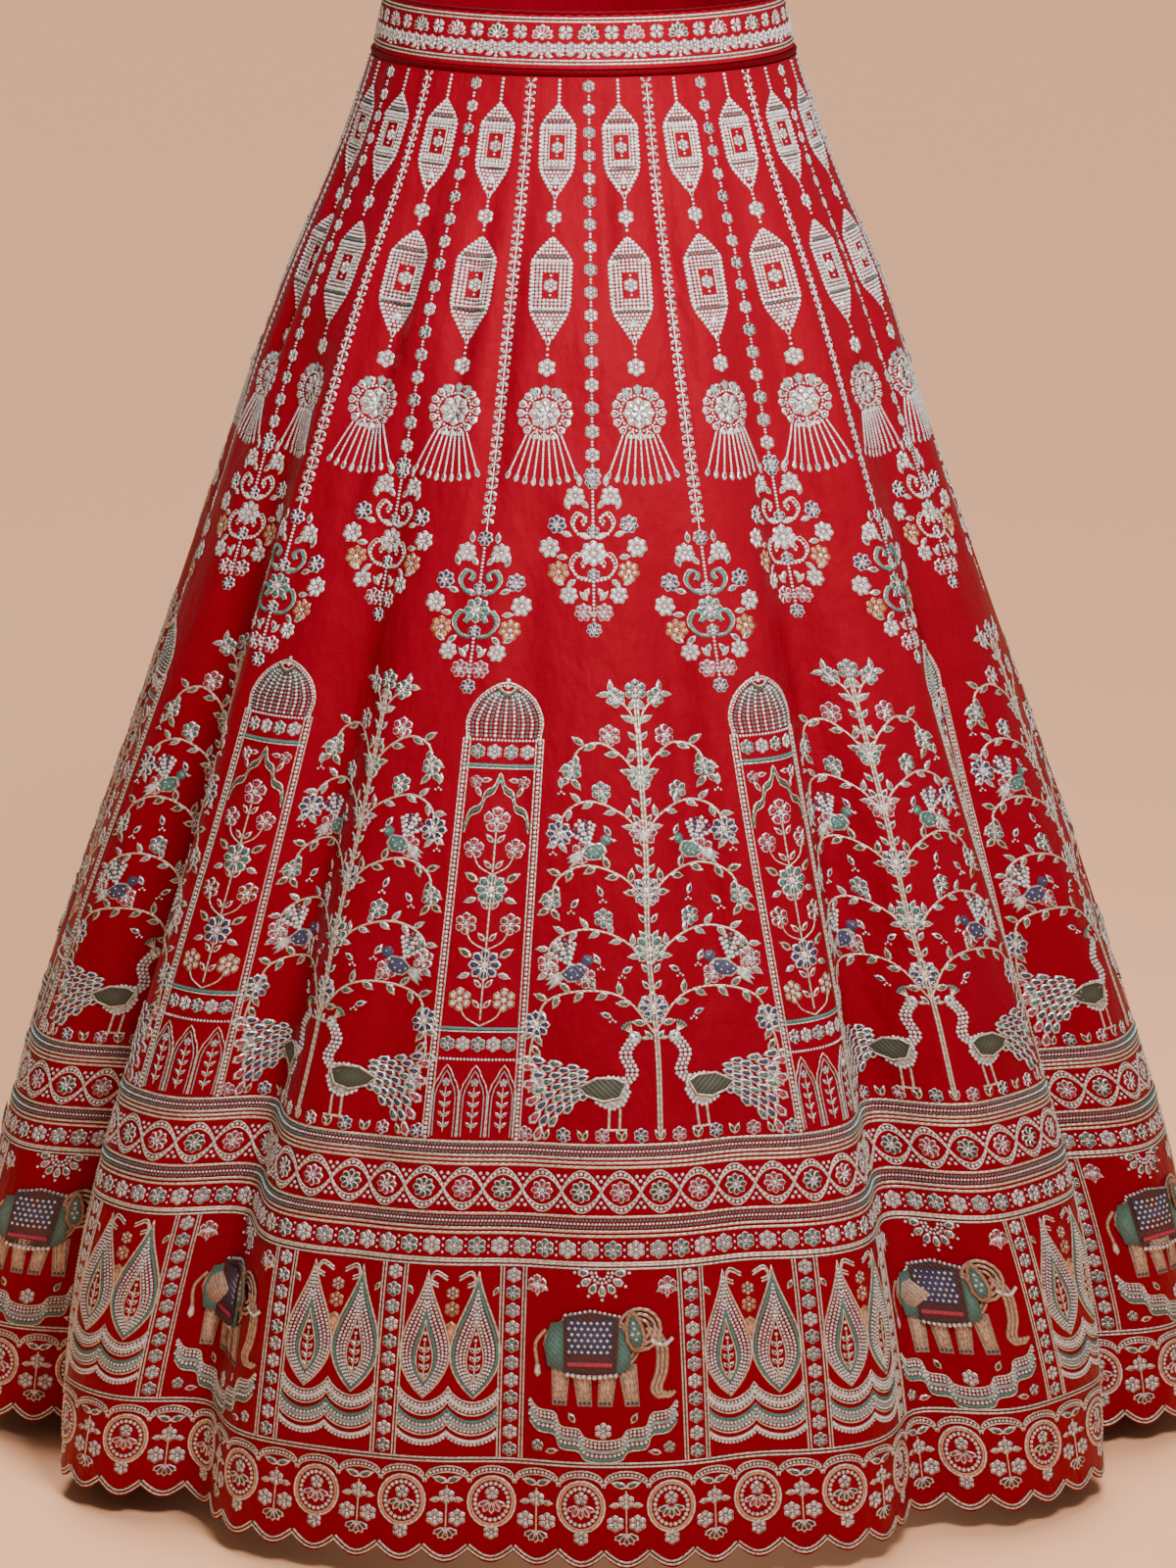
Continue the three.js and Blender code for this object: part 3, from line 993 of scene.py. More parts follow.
@dataclass(frozen=True)
class Jhumka:
    """A round earring-like drop: rosette, ring of loops and a fan of tassels."""

    radius: float = 19.5
    tassels: int = 9
    reach: float = 27.0

    def stitch_tassels(self, work: Needlework, spot: Spot) -> None:
        """Sews the fan of tassels, each ending in a drop."""
        r = self.radius
        for i in range(self.tassels):
            t = i / (self.tassels - 1) * 2 - 1
            start = np.array((t * r * 0.62, -r * 0.80))
            end = np.array((t * r * 1.12, -r * 0.85 - self.reach * (1 - 0.16 * t * t)))
            work.string(spot, [start, end], 0.95)
            work.cord(spot, spaced([start, end], 9), 1.2, Tint.silver)
            drop = spot.at(*end, math.degrees(math.atan2(end[0] - start[0], start[1] - end[1])) + 180)
            work.loop(drop, petal(7.4, 4.2), Tint.ivory, 0.55)
            work.fill(drop, petal(4.2, 2.0, 5, 1.8), (Tint.teal, Tint.silver)[i % 2], 0.5, 0.4)

    def stitch(self, work: Needlework, spot: Spot) -> None:
        """Sews the drop round the spot."""
        r = self.radius
        self.stitch_tassels(work, spot)
        for k in range(16):
            at = spot.at(0, 0, 22.5 * k)
            work.loop(at, petal(r * 0.34, r * 0.36, 6, r * 0.66), Tint.ivory, 0.55)
            if k not in (0, 1, 15):
                work.beads(at, [(0, r * 0.86)], 1.1, 0.9, 0.4)
        work.string(spot, ring_points(r * 0.64, 32), 1.15, closed=True)
        for k in range(8):
            at = spot.at(0, 0, 45 * k)
            work.loop(at, petal(r * 0.44, r * 0.40, 6, r * 0.14), Tint.silver, 0.6, 1.0)
            work.fill(at, petal(r * 0.24, r * 0.2, 5, r * 0.26), Tint.ivory, 0.6, 0.6, Finish.ZARI)
        for k in range(5):
            at = spot.at(0, 0, 72 * k + 36)
            work.fill(at, petal(r * 0.26, r * 0.24, 6, r * 0.04), Tint.ivory, 0.7, 1.4, Finish.ZARI)
        work.beads(spot, [(0, 0)], 1.9, 2.0, 1.4)
        for turn in (-30, 0, 30):
            work.fill(spot.at(0, 0, turn), petal(r * 0.42, r * 0.34, 6, r * 0.62), Tint.mist, 0.9, 0.5)


@dataclass(frozen=True)
class LanternColumn:
    """Two lanterns, flowers and a tasselled drop on one line."""

    share: float
    first: float = 64.0
    second: float = 158.0
    drop: float = 283.0
    glass: tuple = Tint.silver

    def stitch(self, work: Needlework) -> None:
        """Sews the column from the waist down."""
        work.string(Spot(self.share, 47), [(0.0, 0), (0, 47 - self.first)], 1.3)
        Lantern(66, 23).stitch(work, Spot(self.share, self.first))
        for slope in (135, 152):
            work.beads(Spot(self.share, slope), [(0, 1.6), (0, -1.6)], 1.2)
        Flower(5.8, 6, Tint.ivory, Tint.silver).stitch(work, Spot(self.share, 144))
        Lantern(76, 27, self.glass).stitch(work, Spot(self.share, self.second))
        for slope in (238, 242):
            work.beads(Spot(self.share, slope), [(0, 0)], 1.2)
        Flower(6.6, 6, Tint.ivory, Tint.silver).stitch(work, Spot(self.share, 251))
        Jhumka().stitch(work, Spot(self.share, self.drop))


@dataclass(frozen=True)
class Medallion:
    """A lozenge of flowers round scrolls and a jewelled centre."""

    share: float
    middle: float
    scroll: tuple
    pearls: bool
    ring: tuple = (  # right, up, radius and heart of each flower on the right side
        (0, 50, 5.8, Tint.navy), (12, 40, 7.0, Tint.silver), (24.5, 20, 6.8, Tint.navy),
        (30, 4, 7.6, Tint.silver), (24, -13, 8.0, Tint.peach), (17, -29, 6.6, Tint.silver),
        (7, -41, 6.6, Tint.pink), (0, -53, 5.6, Tint.navy),
    )

    def stitch_scrolls(self, work: Needlework, spot: Spot, side: int) -> None:
        """Sews the scrolls and leaves on one side."""
        for up, size in ((20, 1.0), (-9, 1.1)):
            path = curve([(1, -9), (8, -7), (12, 0), (8, 7), (3, 4), (5, 0)], 3) * size
            at = spot.at(side * 1.5, up, 0, side)
            if self.pearls:
                work.string(at, path, 1.3)
                work.cord(at, path + (1.6, 1.6), 1.0, Tint.gold)
            else:
                work.cord(at, path, 2.8, self.scroll, rise=1.2, finish=Finish.THREAD)
                work.cord(at, path + (1.7, 1.0), 1.0, Tint.gold)
        for x, up, turn in ((3, 31, 40), (16, 30, 20), (14, 12, 70), (17, -3, 84), (12, -18, 130),
                            (3, -24, 150), (4, -33, 40), (20, -22, 60), (2, 10, 60), (9, 46, 0)):
            core = (self.scroll, Tint.mist)[up % 2]
            Leaf(9.0, 4.4, Tint.silver, core).stitch(work, spot.at(side * x, up, -side * turn))

    def stitch(self, work: Needlework) -> None:
        """Sews the medallion."""
        spot = Spot(self.share, self.middle)
        for x, up, radius, core in self.ring:
            rim = Tint.peach if core is Tint.peach else Tint.ivory
            for side in ((-1, 1) if x else (1,)):
                Flower(radius, 7, rim, core).stitch(work, spot.at(side * x, up))
        for side in (-1, 1):
            self.stitch_scrolls(work, spot, side)
        work.string(spot, [(0, 43.0), (0, 12)], 1.2)
        work.string(spot, [(0, -12.0), (0, -46)], 1.2)
        Flower(9.5, 8, Tint.ivory, self.scroll).stitch(work, spot)
        Flower(4.8, 6, Tint.ivory, Tint.navy).stitch(work, spot.at(0, 15))
        Flower(4.8, 6, Tint.ivory, Tint.navy).stitch(work, spot.at(0, -15))


@dataclass(frozen=True)
class Pillar:
    """A domed pavilion with a cusped arch, a bouquet and three small arches at its foot."""

    share: float = -0.342
    dome: float = 470.0
    head: float = 509.0
    foot: float = 784.0
    head_half: float = 25.0
    foot_half: float = 31.0

    def half(self, slope: float) -> float:
        """Half of the pillar's width at a length down the slope."""
        t = (slope - self.head) / (self.foot - self.head)
        return self.head_half + (self.foot_half - self.head_half) * max(t, 0)

    def bar(self, work: Needlework, slope: float, thread: tuple | None, width: float = 2.4) -> None:
        """A level line across the pillar: thread of a colour, or pearls."""
        half = self.half(slope)
        path = [(-half, 0), (half, 0)]
        if thread is None:
            work.string(Spot(self.share, slope), path, 1.15)
        else:
            work.cord(Spot(self.share, slope), spaced(path, 6), width, thread, finish=Finish.THREAD)
            work.cord(Spot(self.share, slope + 1.9), spaced(path, 6), 1.1, Tint.silver)

    def stitch_dome(self, work: Needlework) -> None:
        """Sews the ribbed dome and its finial."""
        spot = Spot(self.share, self.head)
        half, tall = self.head_half, self.head - self.dome
        right = [(half, 0), (half * 1.02, tall * 0.36), (half * 0.68, tall * 0.76), (0, tall)]
        outline = curve(right + [(-x, y) for x, y in right[2::-1]], 4)
        work.cord(spot, outline, 1.5, Tint.gold)
        work.string(spot, outline * 0.94 + (0, 0.5), 1.1)
        for k in range(-7, 8):
            x = k / 8.2 * half
            rib = curve([(x, 2), (x, tall * 0.34), (x * 0.66, tall * 0.70), (x * 0.3, tall * 0.82)], 4)
            if k % 2:
                work.string(spot, rib, 1.3, tint=Tint.teal, finish=Finish.THREAD)
            else:
                work.string(spot, rib, 1.3)
        crescent = curve([(-7, tall * 0.90), (0, tall * 0.76), (7, tall * 0.90)], 4)
        work.cord(spot, crescent, 2.2, Tint.olive, finish=Finish.THREAD, base=1.4)
        work.cord(spot, crescent + (0, 1.8), 1.0, Tint.gold, base=1.4)
        work.beads(spot, [(0, tall + 1.5), (0, tall - 3)], 1.6)

    def stitch_bouquet(self, work: Needlework) -> None:
        """Sews the flowering stem inside the arch."""
        foot = Spot(self.share, 703)
        work.cord(foot, spaced([(0, 0), (0, 132)], 6), 1.4, Tint.gold)
        Flower(9.5, 5, Tint.silver, Tint.pink).stitch(work, foot.at(0, 138))
        for up, aside, flower in ((118, 14, Flower(7.4, 5, Tint.silver, Tint.pink)),
                                  (66, 15, Flower(8.0, 6, Tint.silver, Tint.red)),
                                  (14, 15, Flower(8.6, 6, Tint.peach, Tint.silver))):
            for side in (-1, 1):
                path = curve([(0, up - 18), (side * aside * 0.7, up - 12), (side * aside, up - 3)], 4)
                work.cord(foot, path, 1.2, Tint.gold)
                flower.stitch(work, foot.at(side * aside, up))
        for up, core in ((90, Tint.teal), (38, Tint.navy)):
            Flower(11.5, 8, Tint.ivory, core).stitch(work, foot.at(0, up))
            for side in (-1, 1):
                Leaf(12, 6, Tint.gold, Tint.olive).stitch(work, foot.at(side * 9, up + 5, -side * 58))
                Leaf(10, 4.6, Tint.silver, Tint.mist).stitch(work, foot.at(side * 9, up - 6, -side * 110))
        for up in (8, 22, 54, 76, 104, 122):
            for side in (-1, 1):
                Leaf(8.5, 4.0, Tint.silver, Tint.red).stitch(work, foot.at(side, up, -side * 42))

    def stitch(self, work: Needlework) -> None:
        """Sews the whole pillar."""
        self.stitch_dome(work)
        for side in (-1, 1):
            edge = np.array([(side * self.half(s), self.head - s)
                             for s in np.linspace(self.head, self.foot, 24)])
            work.string(Spot(self.share, self.head), edge, 1.45)
            work.cord(Spot(self.share, self.head), edge - (side * 2.6, 0), 1.2, Tint.gold)
            work.cord(Spot(self.share, self.head), edge + (side * 2.2, 0), 1.2, Tint.gold)
        self.bar(work, self.head + 1, None)
        self.bar(work, 527.5, Tint.teal)
        self.bar(work, 709, Tint.teal)
        self.bar(work, 730, None)
        for slope, count in ((518, 4), (719.5, 5)):
            for i in range(count):
                x = ((i + 0.5) / count * 2 - 1) * self.half(slope) * 0.88
                core = (Tint.teal, Tint.silver)[i % 2]
                Flower(5.4, 6, Tint.ivory, core).stitch(work, Spot(self.share, slope).at(x, 0))
        half = self.half(548) - 4
        cusp = [(-half, -24), (-half * 0.86, -13), (-half * 0.55, -9), (-half * 0.42, 0),
                (-half * 0.16, 4), (0, 13)]
        cusp += [(-x, y) for x, y in cusp[-2::-1]]
        arch = Spot(self.share, 548)
        work.cord(arch, curve(cusp, 3), 3.0, Tint.olive, finish=Finish.THREAD, rise=1.0)
        work.cord(arch, curve(cusp, 3) + (0, 2.6), 1.2, Tint.gold)
        work.cord(arch, curve(cusp, 3) - (0, 2.4), 1.0, Tint.gold)
        for side in (-1, 1):
            at = arch.at(side * half * 0.74, 9)
            Flower(4.6, 5, Tint.silver, Tint.pink).stitch(work, at)
            Leaf(9, 4, Tint.silver, Tint.pink).stitch(work, at.at(0, -3, side * 150))
            Leaf(8, 4, Tint.silver, Tint.pink).stitch(work, at.at(-side * 3, 1, side * 84))
        self.stitch_bouquet(work)
        for i in (-1, 0, 1):
            wide = self.half(760) * 0.60
            at = Spot(self.share, 783).at(i * wide * 1.06, 0)
            niche = curve([(-wide / 2, 0), (-wide / 2, 30), (-wide * 0.28, 40), (0, 49),
                           (wide * 0.28, 40), (wide / 2, 30), (wide / 2, 0)], 2)
            work.cord(at, niche, 1.1, Tint.gold)
            work.cord(at, niche * (0.76, 0.92), 0.9, Tint.mist, finish=Finish.THREAD)
            work.cord(at, [(0, 3), (0, 20), (0, 34)], 0.9, Tint.gold)
            for up in (6, 13, 20, 27):
                for side in (-1, 1):
                    Leaf(6, 2.6, Tint.ivory, Tint.mist).stitch(work, at.at(0, up, -side * 44))
            Flower(3.0, 5, Tint.ivory, Tint.silver).stitch(work, at.at(0, 37))


@dataclass(frozen=True)
class Peafowl:
    """A standing bird with a long scaly tail, facing right."""

    wing: tuple = Tint.olive

    def stitch_tail(self, work: Needlework, spot: Spot) -> None:
        """Sews the tail, feather over feather from its tip."""
        for step in range(6, -1, -1):
            along = step / 6
            for k in range(5):
                across = (k - 2 + 0.5 * (step % 2)) * (0.6 + 1.0 * along)
                x = -8 - 28 * along
                y = 27 - 9 * along + 5.0 * across
                turn = 112 + 9 * along - 10 * across
                size = 8.0 + 2.6 * along
                at = spot.at(x, y, turn)
                work.loop(at, petal(size, size * 0.56), Tint.silver, 0.62, 0.7, 0.3 + 0.5 * (1 - along))
                core = Tint.pink if step == 6 else (Tint.navy, Tint.teal, Tint.navy)[(k + step) % 3]
                work.fill(at, petal(size * 0.6, size * 0.32, 5, size * 0.2), core, 0.7, 0.6)

    def stitch(self, work: Needlework, spot: Spot) -> None:
        """Sews the bird with its feet at the spot."""
        self.stitch_tail(work, spot)
        for x in (1, 7):
            work.cord(spot, [(x, 0), (x + 1, 12)], 1.6, Tint.gold)
            work.cord(spot, [(x - 2, 0), (x + 4, 0)], 1.4, Tint.gold)
        body = np.array([(-9, 23), (-5, 15), (3, 11), (10, 14), (14, 21), (11, 29), (3, 30), (-5, 28)])
        work.fill(spot, body, Tint.silver, 1.0, 0.4, Finish.ZARI)
        work.string(spot, (body - (3, 21)) * 0.96 + (3, 21), 1.3, closed=True)
        wing = np.array([(12, 26), (6, 29), (-4, 29), (-14, 24), (-10, 19), (-1, 16), (8, 18)])
        work.fill(spot, wing, self.wing, 0.9, 1.6)
        work.cord(spot, wing.astype(float), 1.4, Tint.gold, closed=True, base=1.6)
        for k, up in enumerate((20, 23, 26)):
            feather = [(-9 + k, up), (8, up - 0.6)]
            work.string(spot, feather, 0.9, tint=(Tint.ivory, Tint.teal, Tint.ivory)[k],
                        finish=Finish.ZARI)
        neck = np.array(curve([(10, 25), (16, 32), (12.5, 42), (17, 50)], 5))
        for shift in (-2.6, 0.0, 2.6):
            work.string(spot, neck + (shift, 0), 1.3)
        work.beads(spot, [(18.4, 51.5)], 3.8, 1.6, 0.4, Tint.ivory, Finish.ZARI)
        work.beads(spot, [(18.8, 52)], 1.0, 0.7, 1.7, Tint.navy, Finish.THREAD)
        work.fill(spot.at(21.6, 51.4, -98), blade(5.5, 2.2), Tint.gold, 0.8, finish=Finish.ZARI)
        for turn in (8, 26, 44, 62):
            crest = spot.at(17, 54, turn)
            work.cord(crest, [(0, 0), (0, 5)], 0.9, Tint.gold)
            work.beads(crest, [(0, 6)], 1.2, tint=Tint.teal, finish=Finish.THREAD)


@dataclass(frozen=True)
class SmallBird:
    """A perched bird with a raised wing, facing right."""

    body: tuple = Tint.navy
    wing: tuple = Tint.teal

    def stitch(self, work: Needlework, spot: Spot) -> None:
        """Sews the bird with its feet at the spot."""
        for k, turn in enumerate((134, 122, 110)):
            work.fill(spot.at(-3, 6, turn), blade(14 - k, 3.4), Tint.silver, 0.7, 0.3, Finish.ZARI)
        for k in range(7):
            feather = spot.at(1 - 0.4 * k, 9.5, 60 - 13 * k)
            path = [(0, 2), (0, 15 - 0.9 * abs(k - 3))]
            if k % 3 == 1:
                work.string(feather, path, 1.2, tint=self.wing, finish=Finish.THREAD)
            else:
                work.string(feather, path, 1.35)
        body = np.array([(-7, 5), (-2, 1.0), (5, 1.5), (9, 6), (7.5, 11.5), (0, 11)], dtype=float)
        work.fill(spot, body, Tint.silver, 0.8, 0.3, finish=Finish.ZARI)
        work.fill(spot, (body - (1, 6)) * 0.8 + (1, 6), self.body, 1.0, 0.7)
        for x, y in ((-3, 5), (0, 7.5), (3, 5), (0, 3.6), (5, 8)):
            work.beads(spot, [(x, y)], 0.7, 0.6, 1.3)
        work.beads(spot, [(8.6, 12.8)], 3.3, 1.6, tint=self.body, finish=Finish.THREAD)
        work.fill(spot.at(11.2, 12.8, -94), blade(4.0, 1.8), Tint.gold, 0.8, finish=Finish.ZARI)
        work.beads(spot, [(9.4, 13.4)], 0.8, 2.1)


@dataclass(frozen=True)
class Bay:
    """A flowering tree with peafowl at its foot and small birds in its branches."""

    share: float = 0.158
    foot: float = 781.0

    def stitch_side(self, work: Needlework, spot: Spot) -> None:
        """Sews the branches, flowers and birds to the right of the trunk."""
        big = Flower(9.6, 8, Tint.ivory, Tint.navy)
        mid = Flower(8.0, 6, Tint.silver, Tint.pink)
        pale = Flower(7.2, 6, Tint.ivory, Tint.teal)
        green = Leaf(11.0, 5.4, Tint.gold, Tint.teal)
        dark = Leaf(11.0, 5.6, Tint.gold, Tint.olive)
        sea = Leaf(10.0, 4.8, Tint.silver, Tint.mist)
        branches = (
            ((0, 70), (18, 94), (44, 100), (72, 92), (82, 70)), green, ((0.5, 9, mid), (1.0, 0, big)),
            ((0, 118), (20, 136), (44, 142), (66, 132), (70, 112)), sea, ((0.42, 9, pale), (1.0, 0, mid)),
            ((0, 160), (16, 178), (40, 186), (60, 176), (66, 156)), dark, ((0.5, 9, mid), (1.0, 0, pale)),
            ((0, 204), (12, 220), (34, 230), (52, 222), (58, 202)), sea, ((0.45, 8, pale), (1.0, 0, big)),
            ((0, 240), (9, 258), (26, 270), (42, 264), (47, 246)), green, ((0.45, 7, mid), (1.0, 0, pale)),
            ((0, 276), (5, 292), (17, 304)), sea, ((1.0, 0, pale),),
            ((82, 70), (86, 50), (80, 30)), dark, ((1.0, 0, Flower(6, 6, Tint.ivory, Tint.mist)),),
        )
        for points, leaf, flowers in zip(branches[::3], branches[1::3], branches[2::3]):
            Spray(points, leaf, 8.4, flowers, 1.6).stitch(work, spot)
        for x, y, turn in ((34, 118, -30), (20, 112, 60), (30, 164, -20), (52, 156, 40), (22, 206, -30),
                           (44, 208, 30), (72, 116, 20), (62, 196, 10), (54, 238, 0), (28, 82, -70)):
            Leaf(9, 4.4, Tint.ivory, Tint.navy).stitch(work, spot.at(x, y, turn))
            work.beads(spot.at(x, y), [(0, -1.8), (1.9, -3.2), (-1.9, -3.2)], 1.0)
        Peafowl().stitch(work, spot.at(36, 5, 0, -1, 1.22))
        SmallBird().stitch(work, spot.at(54, 104, 0, -1, 1.3))
        SmallBird(Tint.teal, Tint.navy).stitch(work, spot.at(36, 188, 0, -1, 1.2))

    def stitch(self, work: Needlework) -> None:
        """Sews the whole bay."""
        spot = Spot(self.share, self.foot)
        trunk = curve([(0, 0), (1.4, 60), (-1.2, 130), (1.0, 200), (0, 300)], 10)
        work.cord(spot, trunk + (1.0, 0), 1.9, Tint.gold, rise=1.0)
        work.cord(spot, trunk - (1.0, 0), 1.9, Tint.gold, rise=1.0)
        for k in range(20):
            for side in (-1, 1):
                leaf = Leaf(8.6, 4.2, Tint.ivory, (Tint.teal, Tint.olive)[k % 2])
                leaf.stitch(work, spot.at(side * 1.5, 66 + 11.4 * k, -side * 38))
        for up, size, core in ((88, 11, Tint.navy), (128, 11.5, Tint.teal), (168, 11, Tint.navy),
                               (208, 10, Tint.pink), (246, 9, Tint.teal)):
            Flower(size, 8, Tint.ivory, core).stitch(work, spot.at(0, up))
        Flower(8, 6, Tint.silver, Tint.teal).stitch(work, spot.at(0, 306))
        self.stitch_side(work, spot)
        self.stitch_side(work, Spot(self.share, self.foot, flip=-1))


@dataclass(frozen=True)
class GroundFlowers:
    """A row of low flowers along the foot of the bay."""

    share: float = 0.158
    slope: float = 780.0
    half: float = 92.0
    count: int = 15

    def stitch(self, work: Needlework) -> None:
        """Sews the row."""
        for i in range(self.count):
            x = (i / (self.count - 1) * 2 - 1) * self.half
            spot = Spot(self.share, self.slope).at(x, 0)
            if i % 2:
                Leaf(9, 4, Tint.gold, Tint.olive).stitch(work, spot.at(0, -4, 24))
                Leaf(9, 4, Tint.gold, Tint.olive).stitch(work, spot.at(0, -4, -24))
            else:
                Flower(5.4, 6, Tint.ivory, (Tint.pink, Tint.navy)[i // 2 % 2]).stitch(work, spot)


@dataclass(frozen=True)
class Rails:
    """Level lines all the way across a repeat."""

    zari: tuple = (786.4, 795.4, 798.4, 801.4, 835.0, 845.0, 848.2, 866.4)
    stones: tuple = (790.8, 840.0)
    braids: tuple = (869.0, 1006.0)
    span: tuple = (-0.5, 0.5)

    def stitch(self, work: Needlework) -> None:
        """Sews the lines."""
        for slope in self.zari:
            spot, path = work.rail(slope, self.span)
            work.cord(spot, path, 1.9, Tint.gold)
        for slope in self.stones:
            spot, path = work.rail(slope, self.span)
            for aside, tint in ((-2.4, Tint.teal), (0, Tint.ivory), (2.4, Tint.teal)):
                line = path + (aside * 0.4, aside)
                work.string(spot, line, 1.15, tint=tint, finish=Finish.THREAD)
        for slope in self.braids:
            spot, path = work.rail(slope, self.span)
            work.braid(spot, path, 3.6)


@dataclass(frozen=True)
class CircleBand:
    """Two crossing waves of pearls round flowers of two colours."""

    slope: float = 818.2
    count: int = 10
    swing: float = 12.2

    def stitch(self, work: Needlework) -> None:
        """Sews the circles."""
        pitch = work.width(self.slope) / self.count
        for i in range(self.count):
            spot = Spot(-0.5 + (i + 0.5) / self.count, self.slope)
            x = np.linspace(-0.5, 0.5, 15)
            for side in (-1, 1):
                wave = np.stack([x * pitch, side * self.swing * np.cos(np.pi * x) ** 0.8], 1)
                work.string(spot, wave, 1.45)
                work.cord(spot, wave * (0.98, 0.82), 1.1, Tint.gold)
                work.cord(spot, wave * (1.0, 1.17), 1.1, Tint.gold)
            core = (Tint.olive, Tint.pink)[i % 2]
            Flower(7.8, 8, Tint.ivory, core).stitch(work, spot)
            between = spot.at(pitch / 2, 0)
            for up in (-1, 1):
                work.beads(between, [(0, up * 7.4), (2.3, up * 10.4), (-2.3, up * 10.4)], 1.4)


@dataclass(frozen=True)
class FlowerBand:
    """A close row of small flowers and clusters."""

    slope: float = 857.3
    count: int = 18

    def stitch(self, work: Needlework) -> None:
        """Sews the row."""
        for i in range(self.count):
            spot = Spot(-0.5 + (i + 0.5) / self.count, self.slope)
            core = (Tint.teal, Tint.silver, Tint.mist)[i % 3]
            Flower(6.6, 6, Tint.ivory, core).stitch(work, spot)
            side = spot.at(work.width(self.slope) / self.count / 2, 0)
            work.beads(side, [(0, 4.6), (0, -4.6), (0, 0)], 1.1)


@dataclass(frozen=True)
class Elephant:
    """A walking elephant under a dotted cloth, facing right."""

    def stitch_skin(self, work: Needlework, spot: Spot) -> None:
        """Sews legs, trunk, body and head in rows of gold thread."""
        for x, lean in ((-18, -1), (-7, 2), (8, -2), (18, 3)):
            leg = np.array([(x - 4.0 + lean, 0), (x + 4.0 + lean, 0), (x + 5.4, 24), (x - 5.4, 24)])
            work.fill(spot, leg, Tint.taupe, 1.0)
            for shift in (-2.4, 0, 2.4):
                line = [(x + lean + shift, 5), (x + shift * 1.2, 22)]
                work.cord(spot, line, 1.4, Tint.taupe, base=0.9)
                work.beads(spot, [(x + lean + shift, 2.0)], 1.2, tint=Tint.navy, finish=Finish.THREAD)
        trunk = curve([(31, 44), (37, 34), (37, 20), (34, 10), (38, 5), (42, 8)], 4)
        for shift in (-2.4, 0.0, 2.4):
            work.cord(spot, trunk + (shift, 0), 2.3, Tint.taupe, rise=1.2)
        work.fill(spot, ring_points(1, 14) * (27, 17) + (-1, 34), Tint.taupe, 2.2)
        for size in (0.96, 0.86, 0.76):
            work.cord(spot, ring_points(size, 22) * (27, 17) + (-1, 34), 1.5, Tint.taupe,
                      closed=True, base=0.5 + 1.8 * (1 - size))
        for size in (11.5, 8.6, 5.6):
            work.cord(spot, ring_points(size, 16) + (25, 43), 2.0, Tint.taupe, closed=True, base=1.0)
        work.beads(spot, [(31.5, 46)], 1.2, 1.4, 2.2, Tint.navy, Finish.THREAD)
        work.cord(spot, curve([(31, 37), (38, 34), (43, 38)], 3), 2.2, Tint.ivory, base=1.6)

    def stitch_cloths(self, work: Needlework, spot: Spot) -> None:
        """Sews the saddle cloth, the drapes and the ear."""
        rump = np.array([(-27, 34), (-25, 22), (-15, 20), (-14, 48), (-23, 46)], dtype=float)
        work.fill(spot, rump, Tint.teal, 0.7, 2.2)
        chest = np.array([(12, 18), (20, 22), (20, 36), (13, 46)], dtype=float)
        work.fill(spot, chest, Tint.teal, 0.7, 2.4)
        cloth = np.array([(-16, 18), (12, 18), (14, 50), (-1, 53), (-16, 50)], dtype=float)
        work.fill(spot, cloth, Tint.maroon, 0.4, 3.2)
        work.string(spot, cloth, 1.3, closed=True, tint=Tint.ivory, finish=Finish.ZARI)
        beads = [(x + (row % 2) * 1.6, 31 + 3.2 * row) for row in range(6)
                 for x in np.arange(-13, 10, 3.4)]
        work.fill(spot, np.array([(-14, 29), (10, 29), (11, 49), (-14, 49)]), Tint.navy, 0.3, 3.7)
        work.beads(spot, beads, 1.1, 0.7, 3.9)
        for up in (27, 20.5):
            work.string(spot, [(-14.0, up), (10, up)], 1.3, tint=Tint.ivory,
                        finish=Finish.ZARI)
        work.cord(spot, [(-14.0, 23.8), (10, 23.8)], 2.6, Tint.pink, base=3.6,
                  finish=Finish.THREAD)
        edge = [(-14, 18), (-1, 16.6), (12, 18)]
        work.beads(spot, spaced(edge, 2.8), 1.4, 1.2, 3.4)
        ear = spot.at(20, 55, 190)
        work.fill(ear, petal(24, 13, 9), Tint.peach, 0.6, 4.0)
        work.fill(ear, petal(19, 9, 9, 3), Tint.teal, 0.5, 4.5)
        work.beads(ear, [(0, 8), (0, 11), (-1.6, 14), (1.6, 14), (0, 17)], 1.1, 0.6, 4.9)

    def stitch(self, work: Needlework, spot: Spot) -> None:
        """Sews the elephant with its feet at the spot."""
        self.stitch_skin(work, spot)
        self.stitch_cloths(work, spot)
        tail = curve([(-26, 42), (-32, 34), (-31, 22)], 3)
        work.cord(spot, tail, 2.0, Tint.taupe)
        work.fill(spot.at(-31, 24, 180), petal(9, 4.4), Tint.ivory, 0.8, finish=Finish.ZARI)


